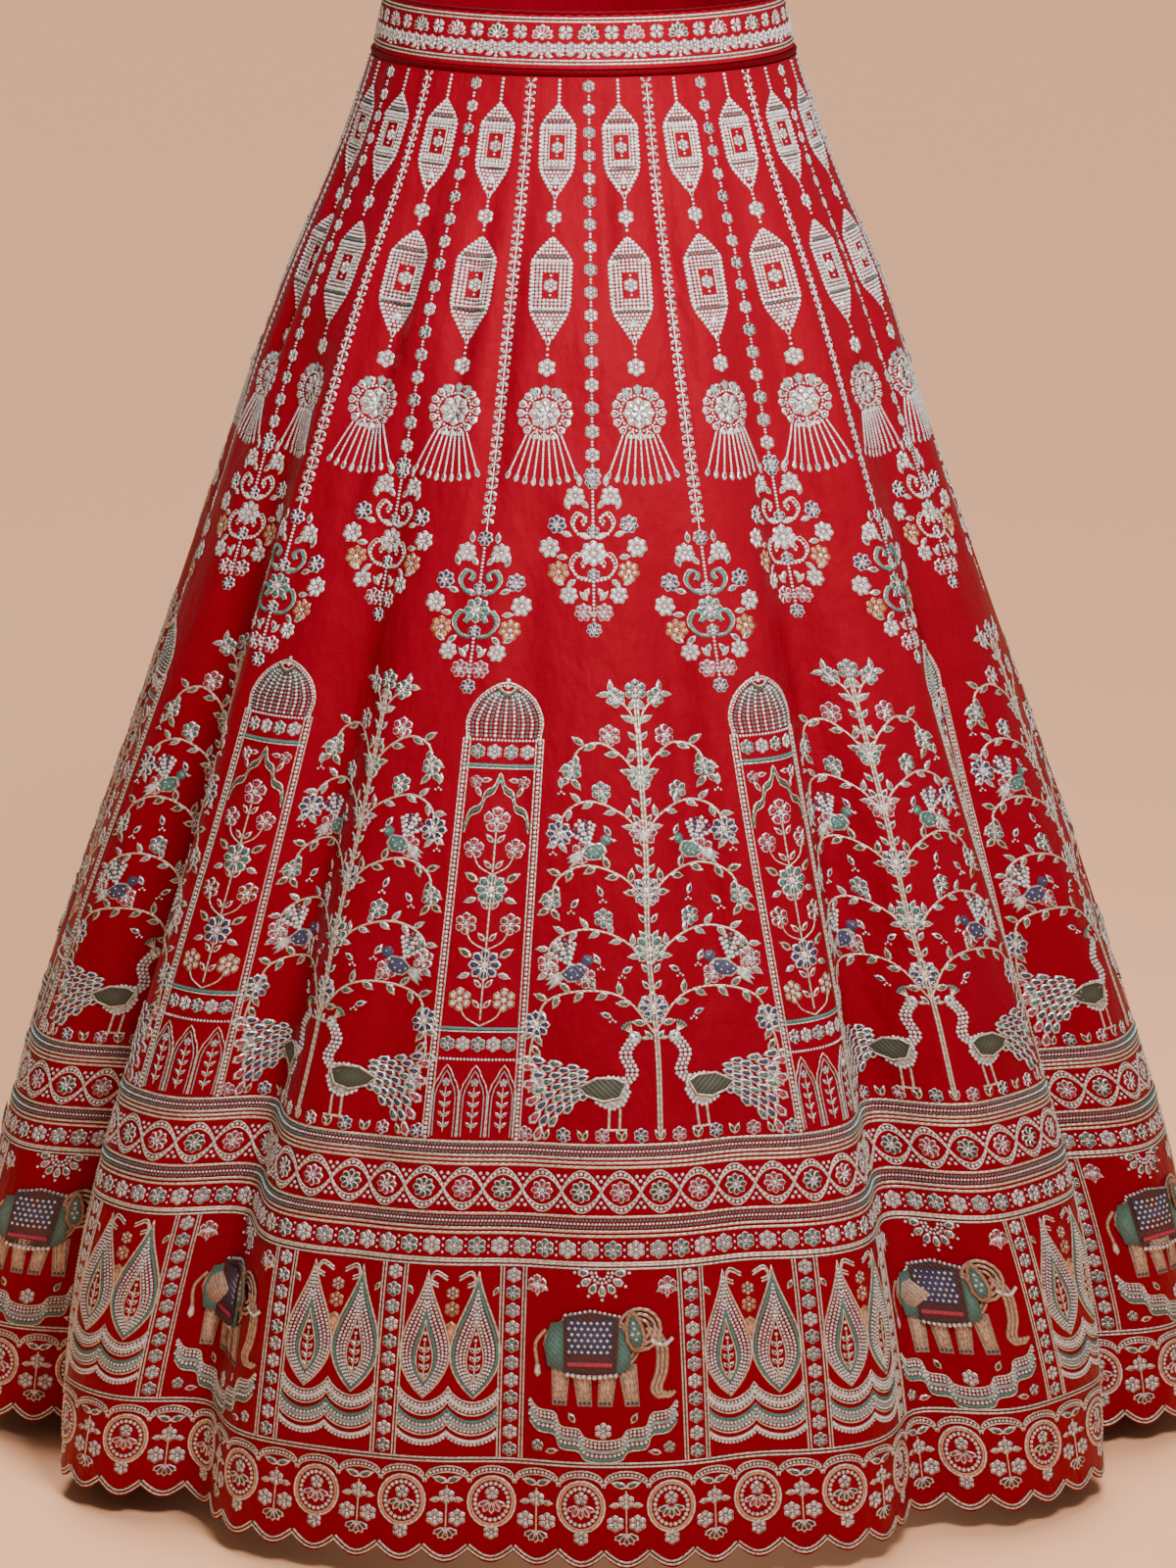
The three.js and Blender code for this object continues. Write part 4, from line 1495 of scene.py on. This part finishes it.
@dataclass(frozen=True)
class Niche:
    """The elephant's panel, under half a rosette and over a cloud edge."""

    share: float = 0.0
    top: float = 873.0
    foot: float = 1002.0
    half: float = 53.0

    def stitch_head(self, work: Needlework, spot: Spot) -> None:
        """Sews the half rosette at the top and a flower in each corner."""
        for k in range(7):
            at = spot.at(0, 0, 90 + 30 * k)
            work.loop(at, petal(8.5, 6.6, 7, 8), Tint.ivory, 0.6)
            work.fill(at, petal(4.6, 3.2, 5, 10), (Tint.teal, Tint.mist)[k % 2], 0.4, 0.4)
            work.beads(at, [(0, 18.4)], 1.3)
        work.string(spot, arc(7.0, 180, 360, 12), 1.3)
        work.string(spot, arc(4.2, 180, 360, 8), 1.2)
        for side in (-1, 1):
            corner = spot.at(side * (self.half - 9), -9)
            Flower(6.6, 5, Tint.silver, Tint.pink).stitch(work, corner)
            for turn in (60, 120, 180):
                Leaf(9, 4.4, Tint.silver, Tint.pink).stitch(work, corner.at(0, 0, side * turn + 60 * side))

    def stitch_foot(self, work: Needlework, spot: Spot) -> None:
        """Sews the cloud edge that the elephant stands over."""
        knots = [(-50, 30), (-44, 23), (-33, 21), (-29, 12), (-17, 10), (-12, 4), (0, 2)]
        lobes = curve(knots + [(-x, y) for x, y in knots[-2::-1]], 4)
        for lift, radius in ((0, 1.45), (6.2, 1.3), (8.8, 1.3)):
            work.string(spot, lobes + (0, lift), radius)
        work.cord(spot, lobes + (0, -2.6), 2.6, Tint.teal, finish=Finish.THREAD)
        work.cord(spot, lobes + (0, 3.1), 3.0, Tint.mist, finish=Finish.THREAD)
        work.cord(spot, lobes + (0, -4.6), 1.2, Tint.gold)
        work.cord(spot, lobes + (0, 10.8), 1.2, Tint.gold)
        for side in (-1, 1):
            Leaf(9, 5, Tint.gold, Tint.olive).stitch(work, spot.at(side * 19, 25, -side * 30))
            Flower(4.4, 5, Tint.silver, Tint.mist).stitch(work, spot.at(side * 45, 8))
            Leaf(10, 4.6, Tint.silver, Tint.pink).stitch(work, spot.at(side * 40, 4, side * 80))
        Flower(6.2, 6, Tint.ivory, Tint.silver).stitch(work, spot.at(0, 20))

    def stitch(self, work: Needlework) -> None:
        """Sews the whole panel."""
        foot = Spot(self.share, self.foot)
        self.stitch_head(work, Spot(self.share, self.top))
        self.stitch_foot(work, foot)
        Elephant().stitch(work, foot.at(-6, 37, 0, 1, 1.24))


@dataclass(frozen=True)
class FlowerColumn:
    """An upright strip of flowers between braids."""

    share: float
    top: float = 871.0
    foot: float = 1004.0
    half: float = 7.6
    count: int = 11

    def stitch(self, work: Needlework) -> None:
        """Sews the strip."""
        tall = self.foot - self.top
        for side in (-1, 1):
            line = spaced([(side * self.half, 0), (side * self.half, -tall)], 8)
            work.braid(Spot(self.share, self.top), line, 3.0)
        for i in range(self.count):
            spot = Spot(self.share, self.top + (i + 0.5) * tall / self.count)
            core = (Tint.silver, Tint.teal, Tint.mist)[i % 3]
            Flower(5.4, 6, Tint.ivory, core).stitch(work, spot)


@dataclass(frozen=True)
class Teardrop:
    """A drop of nested rows of pearls and silk round a twig."""

    outer: tuple = Tint.silver
    inner: tuple = Tint.teal
    length: float = 88.0
    width: float = 34.0

    def outline(self, inset: float) -> np.ndarray:
        """The drop's edge, a distance inside its outer edge."""
        t = np.linspace(0, 1, 16)
        half = self.width / 2 * np.sin(np.pi * t**1.55) ** 0.92
        scale = 1 - inset / (self.width / 2)
        y = (self.length - 3 * inset) * (1 - t) + inset * t
        side = np.stack([half * scale, y], 1)
        return np.vstack([side[::-1], (side * (-1, 1))[1:-1]])

    def stitch(self, work: Needlework, spot: Spot) -> None:
        """Sews the drop, standing on its round end."""
        work.cord(spot, self.outline(0.0), 1.6, Tint.gold, closed=True)
        rows = ((2.0, self.outer), (4.5, Tint.ivory), (7.0, Tint.ivory), (9.4, self.inner))
        for inset, tint in rows:
            if tint is Tint.ivory or tint is Tint.silver:
                work.string(spot, self.outline(inset), 1.25, closed=True, tint=tint)
            else:
                work.cord(spot, self.outline(inset), 2.4, tint, closed=True, finish=Finish.THREAD)
        work.cord(spot, self.outline(11.2), 1.2, Tint.gold, closed=True)
        low = self.length * 0.13
        work.cord(spot, [(0, low), (0, self.length * 0.44)], 1.1, Tint.gold, base=0.5)
        for k in range(4):
            for side in (-1, 1):
                twig = spot.at(0, low + 2 + k * 6.0, -side * 42)
                work.loop(twig, blade(6.0, 3.2), Tint.ivory, 0.5)
        work.beads(spot, [(0, self.length * 0.46), (0, self.length * 0.51)], 1.4, base=0.4)


@dataclass(frozen=True)
class TeardropPanel:
    """Two teardrops side by side over lobed bands, with a pendant between them."""

    share: float
    half: float = 34.0

    def lobed(self, drop: float) -> np.ndarray:
        """A line with a lobe under each teardrop, a distance below them."""
        x = np.linspace(-1, 1, 29)
        lobe = 11.0 * np.abs(np.sin(np.pi * x)) ** 0.7
        return np.stack([x * self.half, 8 - lobe * (1 - drop / 90) - drop], 1)[::-1]

    def stitch(self, work: Needlework) -> None:
        """Sews the panel."""
        spot = Spot(self.share, 963)
        Teardrop(Tint.silver, Tint.teal).stitch(work, spot.at(-17.2, 0))
        Teardrop(Tint.teal, Tint.silver).stitch(work, spot.at(17.2, 0))
        rows = (None, Tint.ivory, Tint.silver, Tint.ivory, None, "gap", Tint.teal, Tint.ivory,
                Tint.mist, Tint.ivory, None, "gap", Tint.silver, Tint.ivory)
        for k, tint in enumerate(rows):
            line = self.lobed(2.6 * k)
            if tint is None:
                work.cord(spot, line, 1.3, Tint.gold)
            elif tint is Tint.ivory:
                work.string(spot, line, 1.3)
            elif tint != "gap":
                work.cord(spot, line, 2.5, tint, finish=Finish.THREAD)
        work.fill(spot.at(0, 40), petal(12, 7, 8), Tint.peach, 0.9)
        work.loop(spot.at(0, 38), petal(16, 10, 8), Tint.peach, 0.75)
        Flower(5.6, 6, Tint.peach, Tint.peach).stitch(work, spot.at(0, 62))
        Flower(4.8, 6, Tint.peach, Tint.silver).stitch(work, spot.at(0, 73))
        work.beads(spot, [(0, 36), (0, 33), (0, 30)], 1.2)
        for side in (-1, 1):
            scroll = curve([(4, 82), (12, 86), (15, 80), (10, 77)], 4) * (side, 1)
            work.cord(spot, scroll, 1.6, Tint.gold)
            work.cord(spot, scroll + (0, 2.2), 1.2, Tint.silver)
            Leaf(8, 4, Tint.gold, Tint.teal).stitch(work, spot.at(side * 31, 78, side * 150))


@dataclass(frozen=True)
class HemBand:
    """Scalloped edge: swags, and in each scallop an oval or a spray over a braid."""

    top: float = 1014.0

    def edge(self, spot: Spot, width: float, lift: float) -> np.ndarray:
        """The scallop's lower edge in the spot's frame, raised by a distance."""
        x = np.linspace(-0.5, 0.5, 9)
        slope = FULL_SLOPE - SCALLOP_DEPTH + SCALLOP_DEPTH * np.cos(np.pi * x)
        return np.stack([x * width, spot.slope - slope + lift], 1)

    def stitch_oval(self, work: Needlework, spot: Spot, core: tuple) -> None:
        """Sews an oval medallion with a palmette in it."""
        oval = spot.at(0, -24)
        work.cord(oval, ring_points(14.4, 22, 1.14), 2.0, Tint.peach, closed=True, finish=Finish.THREAD)
        work.cord(oval, ring_points(16.2, 22, 1.12), 1.6, Tint.silver, closed=True)
        work.string(oval, ring_points(11.4, 24, 1.16), 1.6, closed=True)
        work.fan(oval.at(0, 2, 180), (-62, -31, 0, 31, 62), (9.2, 4.6, 2), (5.2, 2.6, 4), core)
        Flower(5.0, 5, Tint.ivory, Tint.silver).stitch(work, oval.at(0, 6))
        Flower(5.6, 6, Tint.ivory, Tint.silver).stitch(work, spot.at(0, -46))

    def stitch_spray(self, work: Needlework, spot: Spot) -> None:
        """Sews a spray of leaves and flowers."""
        for side in (-1, 1):
            Leaf(13, 5.4, Tint.ivory, Tint.teal).stitch(work, spot.at(side * 1.5, -10, side * 72))
            Leaf(8, 4.6, Tint.silver, Tint.silver).stitch(work, spot.at(side * 4, -22, -side * 96))
            Flower(6.4, 6, Tint.ivory, Tint.silver).stitch(work, spot.at(side * 7.6, -35.5))
        Flower(6.0, 6, Tint.ivory, Tint.silver).stitch(work, spot.at(0, -20))
        work.cord(spot, [(0.0, -12), (0, -30), (0, -48)], 1.2, Tint.gold)
        work.fan(spot.at(0, -42, 180), (-58, -29, 0, 29, 58), (9.0, 5.0, 1), (5.4, 3.0, 2.6),
                 Tint.maroon, 0.66)

    def stitch(self, work: Needlework) -> None:
        """Sews the band."""
        for i in range(SCALLOPS):
            spot = Spot(BORDER_SEAM + (i + 0.5) / SCALLOPS, self.top - 3)
            wide = work.width(1060) / SCALLOPS
            swag = arc(wide / 2 - 1.0, 0, 180, 11, 0.5) - (0, 11)
            work.string(spot, swag + (0, 2), 1.25)
            work.cord(spot, swag, 1.2, Tint.gold)
            work.cord(spot, swag + (0, 4.2), 1.2, Tint.gold)
            if i % 2:
                self.stitch_oval(work, spot.at(0, -1), (Tint.pink, Tint.olive)[i // 2 % 2])
            else:
                self.stitch_spray(work, spot.at(0, -1))
            work.braid(spot, self.edge(spot, wide, 3.4), 3.8)


@dataclass(frozen=True)
class BandWork:
    """The waistband's palmettes and flowers between two braids, for one half of the band."""

    count: int = 13

    def stitch(self, work: Needlework) -> None:
        """Sews the half."""
        for slope in (5.0, 34.4):
            spot, path = work.rail(slope, (-0.496, 0.496))
            work.braid(spot, path, 3.6)
        pitch = work.width(20) / self.count
        for i in range(self.count):
            spot = Spot(-0.5 + (i + 0.5) / self.count, 20)
            core = (Tint.olive, Tint.pink)[i % 2]
            for turn in (-84, -56, -28, 0, 28, 56, 84):
                at = spot.at(0, 3.0, turn)
                work.loop(at, petal(8.4 - abs(turn) * 0.02, 4.4, 6, 1.2), Tint.silver, 0.6)
                work.fill(at, petal(4.8, 2.6, 5, 3), core, 0.5, 0.4)
            work.beads(spot, [(0, 2.4)], 1.6, 1.8)
            for x in (-0.37, -0.13, 0.13, 0.37):
                Flower(4.8, 6, Tint.ivory, Tint.silver).stitch(work, spot.at(x * pitch, -4.6))
            for side in (-1, 1):
                leaf = Leaf(6.5, 3.4, Tint.ivory, Tint.silver)
                leaf.stitch(work, spot.at(side * 2.0, -8.4, -side * 112))
                leaf.stitch(work, spot.at(side * 9.5, -8.4, -side * 96))
            work.beads(spot, [(0, -8.6), (0, -11)], 1.3)
            if i < self.count - 1:
                Flower(5.4, 4, Tint.ivory, Tint.silver).stitch(work, spot.at(pitch / 2, 6.4, 45))


# ---- Cloth ----
class ClothWall:
    """A closed wall of cloth, row by row from the top, behind the skirt's face."""

    sharp_edge = 50  # degrees
    apart = 9000  # millimetres of weave between walls a turn apart, so that no two are alike

    def __init__(self, form: SkirtForm, first: float, span: float, thickness: float) -> None:
        """Starts the wall.

        Args:
            form: the skirt's face.
            first: turn of its left edge.
            span: how much of the turn it covers.
            thickness: of the cloth.
        """
        self.form = form
        self.first = first
        self.span = span
        self.thickness = thickness
        self.rows: list[tuple[np.ndarray, np.ndarray]] = []

    def add_row(self, length: float, columns: int, dips: np.ndarray | float = 0.0) -> None:
        """Adds a row of points.

        Args:
            length: down the slope.
            columns: how many steps it has.
            dips: how much farther down each point lies.
        """
        turns = self.first + self.span * np.arange(columns + 1) / columns
        self.rows.append((turns, np.broadcast_to(length + dips, turns.shape)))

    def strip(self, upper: np.ndarray, lower: np.ndarray) -> np.ndarray:
        """Triangles between two rows, the lower one with as many steps or twice as many."""
        a, b = upper[:-1], upper[1:]
        if len(lower) == len(upper):
            c, d = lower[:-1], lower[1:]
            return np.vstack([np.stack([a, c, d], 1), np.stack([a, d, b], 1)])
        c, m, d = lower[:-2:2], lower[1::2], lower[2::2]
        return np.vstack([np.stack([a, c, m], 1), np.stack([a, m, b], 1), np.stack([b, m, d], 1)])

    def build(self, name: str) -> bpy.types.Object:
        """Makes the piece, with a UV map of the flat cloth in metres."""
        turns = np.concatenate([row[0] for row in self.rows])
        lengths = np.concatenate([row[1] for row in self.rows])
        count = len(turns)
        flat = np.zeros(count)
        points = np.vstack([self.form.place(turns, lengths, flat),
                            self.form.place(turns, lengths, flat - self.thickness)])
        starts = np.cumsum([0] + [len(row[0]) for row in self.rows])
        numbers = [np.arange(a, b) for a, b in zip(starts[:-1], starts[1:])]
        face = np.vstack([self.strip(a, b) for a, b in zip(numbers[:-1], numbers[1:])])
        left = [row[0] for row in numbers]
        right = [row[-1] for row in numbers][::-1]
        run = np.concatenate([left, numbers[-1][1:], right[1:], numbers[0][::-1][1:]])
        a, b = run[:-1], run[1:]
        rim = np.vstack([np.stack([b, a, a + count], 1), np.stack([b, a + count, b + count], 1)])
        piece = mesh_object(name, points, np.vstack([face, face[:, ::-1] + count, rim]))
        piece.data.set_sharp_from_angle(angle=math.radians(self.sharp_edge))
        across = (turns - self.first - self.span / 2) * np.interp(
            lengths, self.form.lengths, self.form.perimeters)
        uv = np.stack([across + self.first * self.apart, lengths], 1) * MM
        set_uv(piece, "cloth", np.vstack([uv, uv]))
        return piece


def sew_in(piece: bpy.types.Object, node: str, cloth: bpy.types.Material) -> None:
    """Dresses a wall of cloth, which takes the place of its node in the frame."""
    piece.data.materials.append(cloth)
    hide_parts(node)
    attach(piece, ROOT)


@dataclass(frozen=True)
class Kalis:
    """The tapered panels between the piping and the border."""

    form: SkirtForm
    cloth: bpy.types.Material
    top: float = BAND_LENGTH + 2 * PIPING_RADIUS + 3 * SEAM_GAP
    cut: tuple = (0.260, 0.745)

    def build(self, number: int) -> bpy.types.Object:
        first = FRONT_LINE + (KALI_SEAM + number) / PANELS
        wall = ClothWall(self.form, first, 1 / PANELS, CLOTH)
        inside = [s for s in self.form.lengths[::2] if self.top + 4 < s < BORDER_TOP - 4]
        for length in (self.top, *inside, BORDER_TOP):
            wall.add_row(length, self.form.columns)
        piece = wall.build(f"kali_{number + 1:02d}_cloth")
        sew_in(piece, f"kali_{number + 1:02d}", self.cloth)
        area = (self.form.repeat_width(self.top) + self.form.repeat_width(BORDER_TOP)) / 2 * MM
        float(area) * self.cut[1]
        return piece


@dataclass(frozen=True)
class Borders:
    """The deep border's panels, each with its scallops."""

    form: SkirtForm
    cloth: bpy.types.Material
    cut: tuple = (0.3145, 0.290)
    steps: int = 8  # in a scallop
    trimmed: float = 0.987  # share of the cut left between the scallops

    def build(self, number: int) -> bpy.types.Object:
        first = FRONT_LINE + (BORDER_SEAM + number) / PANELS
        wall = ClothWall(self.form, first, 1 / PANELS, CLOTH)
        notches = self.form.hem - SCALLOP_DEPTH
        inside = [s for s in self.form.lengths[::2] if BORDER_TOP + 4 < s < notches - 6]
        for length in (BORDER_TOP, *inside):
            wall.add_row(length, self.form.columns)
        across = np.arange(SCALLOPS * self.steps + 1) / self.steps % 1
        wall.add_row(notches, SCALLOPS * self.steps, SCALLOP_DEPTH * np.sin(np.pi * across))
        piece = wall.build(f"border_{number + 1:02d}_cloth")
        sew_in(piece, f"border_{number + 1:02d}", self.cloth)
        area = (self.form.repeat_width(BORDER_TOP) + self.form.repeat_width(notches)) / 2 * MM
        float(area) * self.trimmed * self.cut[1]
        return piece


@dataclass(frozen=True)
class Waist:
    """The band's two halves, the rolled edge above them and the twisted piping below."""

    form: SkirtForm
    cloth: bpy.types.Material
    piping: bpy.types.Material
    columns: int = 176  # in each half of the band
    cut: tuple = (0.418, 0.039)
    rows: tuple = (0, 4, 12, 24, 35, BAND_LENGTH)
    edge_radius: float = 1.9
    edge_pitch: float = 16.0
    piping_pitch: float = 9.0
    strands: int = 2  # twisted together in each cord

    def build_half(self, side: str, first: float) -> bpy.types.Object:
        wall = ClothWall(self.form, first, 0.5, BAND_CLOTH)
        for length in self.rows:
            wall.add_row(length, self.columns)
        piece = wall.build(f"waistband_{side}_cloth")
        sew_in(piece, f"waistband_{side}", self.cloth)
        self.cut[0] * self.cut[1]
        return piece

    def tube(self, name: str, length: float, rise: float, radius: float,
             pitch: float) -> bpy.types.Object:
        """A cord all the way round.

        Args:
            name: the piece's name.
            length: where its middle lies down the slope.
            rise: height of its middle above the face.
            radius: of the cord.
            pitch: the length in which a strand goes round once.

        Returns:
            The piece.
        """
        sides, columns = 8, 660
        perimeter = float(np.interp(length, self.form.lengths, self.form.perimeters))
        turn = np.repeat(np.arange(columns) / columns, sides)
        angle = np.tile(np.arange(sides) * 2 * np.pi / sides, columns)
        twists = round(perimeter / pitch)
        lay = np.abs(np.cos(self.strands / 2 * (angle - 2 * np.pi * twists * turn)))
        swell = radius * (0.74 + 0.26 * lay)
        points = self.form.place(turn, length + swell * np.sin(angle), rise + swell * np.cos(angle))
        i = np.arange(columns)[:, None] * sides + np.arange(sides)
        j = np.roll(i, -1, 0)
        i2, j2 = np.roll(i, -1, 1), np.roll(j, -1, 1)
        faces = np.concatenate([np.stack([i, i2, j], 2), np.stack([i2, j2, j], 2)]).reshape(-1, 3)
        piece = mesh_object(name, points, faces)
        piece.data.materials.append(self.piping)
        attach(piece, ROOT)
        return piece

    def build(self) -> None:
        """Builds the band and its two cords."""
        self.build_half("front", -0.25)
        self.build_half("back", 0.25)
        self.tube("waist_edge", 0.4, -BAND_CLOTH / 2, self.edge_radius, self.edge_pitch)
        middle = BAND_LENGTH + PIPING_RADIUS + SEAM_GAP * 1.5
        cord = self.tube("waist_piping_cord", middle, -CLOTH / 2, PIPING_RADIUS, self.piping_pitch)
        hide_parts("waist_piping_front", "waist_piping_back")


# ---- Embroidery in order ----
class Embroidery:
    """All the needlework, repeat by repeat."""

    def __init__(self, form: SkirtForm) -> None:
        """Makes the four finishes of the stitches."""
        self.form = form
        self.materials = {
            Finish.PEARL: PearlFinish().material(),
            Finish.SEQUIN: PearlFinish("sequins", dark_tone_and_shade=(0.35, 0.40, 0.42), roughness=0.24).material(),
            Finish.ZARI: ThreadFinish("zari", metallic=0.4, roughness=0.3, twist=150,
                                      relief=0.5).material(),
            Finish.THREAD: ThreadFinish("coloured_thread", metallic=0.0, roughness=0.48, twist=190,
                                        relief=0.35).material(),
        }

    def lay(self, work: Needlework, name: str, number: int) -> None:
        """Lays one piece of work on the skirt, a piece for each finish."""
        for finish in Finish:
            if work.rows[finish]:
                piece = work.lay_on(f"{name}_{finish.value}", finish, number)
                piece.data.materials.append(self.materials[finish])
                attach(piece, ROOT)
                log.info("embroidery: %s", piece.name)

    def kali_work(self) -> Needlework:
        """The pattern above the border: strings, lanterns, medallions, pillar and bay."""
        work = Needlework(self.form)
        HighString().stitch(work)
        LowString().stitch(work)
        LanternColumn(-0.25, glass=Tint.mist).stitch(work)
        LanternColumn(0.25).stitch(work)
        Medallion(0.0, 380.0, Tint.silver, pearls=True).stitch(work)
        Medallion(-0.5, 421.0, Tint.teal, pearls=False).stitch(work)
        Pillar().stitch(work)
        Bay().stitch(work)
        GroundFlowers().stitch(work)
        return work

    def border_work(self) -> Needlework:
        """The border's rows and panels."""
        work = Needlework(self.form)
        Rails().stitch(work)
        CircleBand().stitch(work)
        FlowerBand().stitch(work)
        Niche().stitch(work)
        for share in (-0.213, 0.213, 0.5):
            FlowerColumn(share).stitch(work)
        for share in (-0.3565, 0.3565):
            TeardropPanel(share).stitch(work)
        HemBand().stitch(work)
        return work

    def build(self) -> None:
        """Sews every repeat, then the waistband."""
        kali, border = self.kali_work(), self.border_work()
        for number in range(PANELS):
            self.lay(kali, f"kali_{number + 1:02d}", number)
            self.lay(border, f"border_{number + 1:02d}", number)
        band = Needlework(self.form, 2)
        BandWork().stitch(band)
        for number, side in enumerate(("front", "back")):
            self.lay(band, f"waistband_{side}", number)


# ---- Studio ----
@dataclass(frozen=True)
class Lamp:
    """A soft square light aimed at the upper half of the skirt; its spread is in degrees."""

    name: str
    place: tuple
    size: float
    power: float
    spread: float
    tint: tuple = (1.0, 0.98, 0.96)
    aim: float = -0.25  # height that it is aimed at

    def build(self) -> None:
        """Adds the light."""
        bpy.ops.object.select_all(action="DESELECT")
        bpy.ops.object.light_add(type="AREA", location=self.place)
        lamp = bpy.context.object
        lamp.name = self.name
        lamp.data.size = self.size
        lamp.data.energy = self.power
        lamp.data.color = self.tint
        lamp.data.spread = math.radians(self.spread)
        x, y, z = self.place
        lamp.rotation_euler = (math.atan2(math.hypot(x, y), z - self.aim), 0, math.atan2(x, -y))


@dataclass(frozen=True)
class Studio:
    """A pale floor, soft lights and the camera."""

    lamps: tuple = (Lamp("key_light", (0.34, -1.25, 0.62), 0.5, 15.5, 100),
                    Lamp("fill_light", (3.0, -2.2, 0.8), 1.6, 5, 180))
    sun_power: float = 3.0
    sun_angle: float = 24.0
    sun_turn: tuple = (-12.0, 0.0, 8.0)  # degrees
    sky: tuple = (1.0, 0.90, 0.83, 1)
    sky_strength: float = 0.2
    floor_tint: tuple = (0.95, 0.47, 0.245)
    floor_level: float = -1.045
    floor_size: float = 60.0
    camera_place: tuple = (0.003, -3.7, 0.36)
    camera_pitch: float = 75.7
    lens: float = 119.7

    def add_floor(self) -> None:
        """Lays the floor."""
        bpy.ops.object.select_all(action="DESELECT")
        bpy.ops.mesh.primitive_plane_add(size=self.floor_size, location=(0, 0, self.floor_level))
        floor = bpy.context.object
        floor.name = "studio_floor"
        shader = Shader("pale_floor")
        shader.set(Base_Color=self.floor_tint, Roughness=0.95)
        floor.data.materials.append(shader.material)

    def add_sun(self) -> None:
        """Adds the soft light from overhead that whitens the floor."""
        bpy.ops.object.select_all(action="DESELECT")
        bpy.ops.object.light_add(type="SUN", location=(2, -4, 4))
        sun = bpy.context.object
        sun.name = "soft_sun"
        sun.data.energy = self.sun_power
        sun.data.angle = math.radians(self.sun_angle)
        sun.rotation_euler = [math.radians(turn) for turn in self.sun_turn]

    def add_camera(self) -> None:
        """Sets the camera up."""
        bpy.ops.object.camera_add(location=self.camera_place)
        camera = bpy.context.object
        camera.name = "studio_camera"
        camera.rotation_euler = (math.radians(self.camera_pitch), 0, 0)
        camera.data.lens = self.lens
        camera.data.sensor_fit = "VERTICAL"
        camera.data.sensor_height = 36
        camera.data.clip_end = 200
        bpy.context.scene.camera = camera

    def build(self) -> None:
        """Builds the studio."""
        self.add_floor()
        self.add_sun()
        for lamp in self.lamps:
            lamp.build()
        world = bpy.data.worlds.new("studio_world")
        world.use_nodes = True
        background = world.node_tree.nodes["Background"]
        background.inputs["Color"].default_value = self.sky
        background.inputs["Strength"].default_value = self.sky_strength
        bpy.context.scene.world = world
        self.add_camera()


def main() -> None:
    """Builds the skirt's looks around the frame."""
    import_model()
    form = SkirtForm()
    silk = SilkFinish().material()
    band_cloth = SilkFinish("band_silk").material()
    piping = SilkFinish("piping_silk", (0.050, 0.0004, 0.0026), (0.10, 0.0007, 0.0045)).material()
    kalis, borders = Kalis(form, silk), Borders(form, silk)
    for number in range(PANELS):
        log.info("cloth: %s, %s", kalis.build(number).name, borders.build(number).name)
    Waist(form, band_cloth, piping).build()
    log.info("waistband and piping")
    Embroidery(form).build()
    Studio().build()


if __name__ == "__main__":
    main()
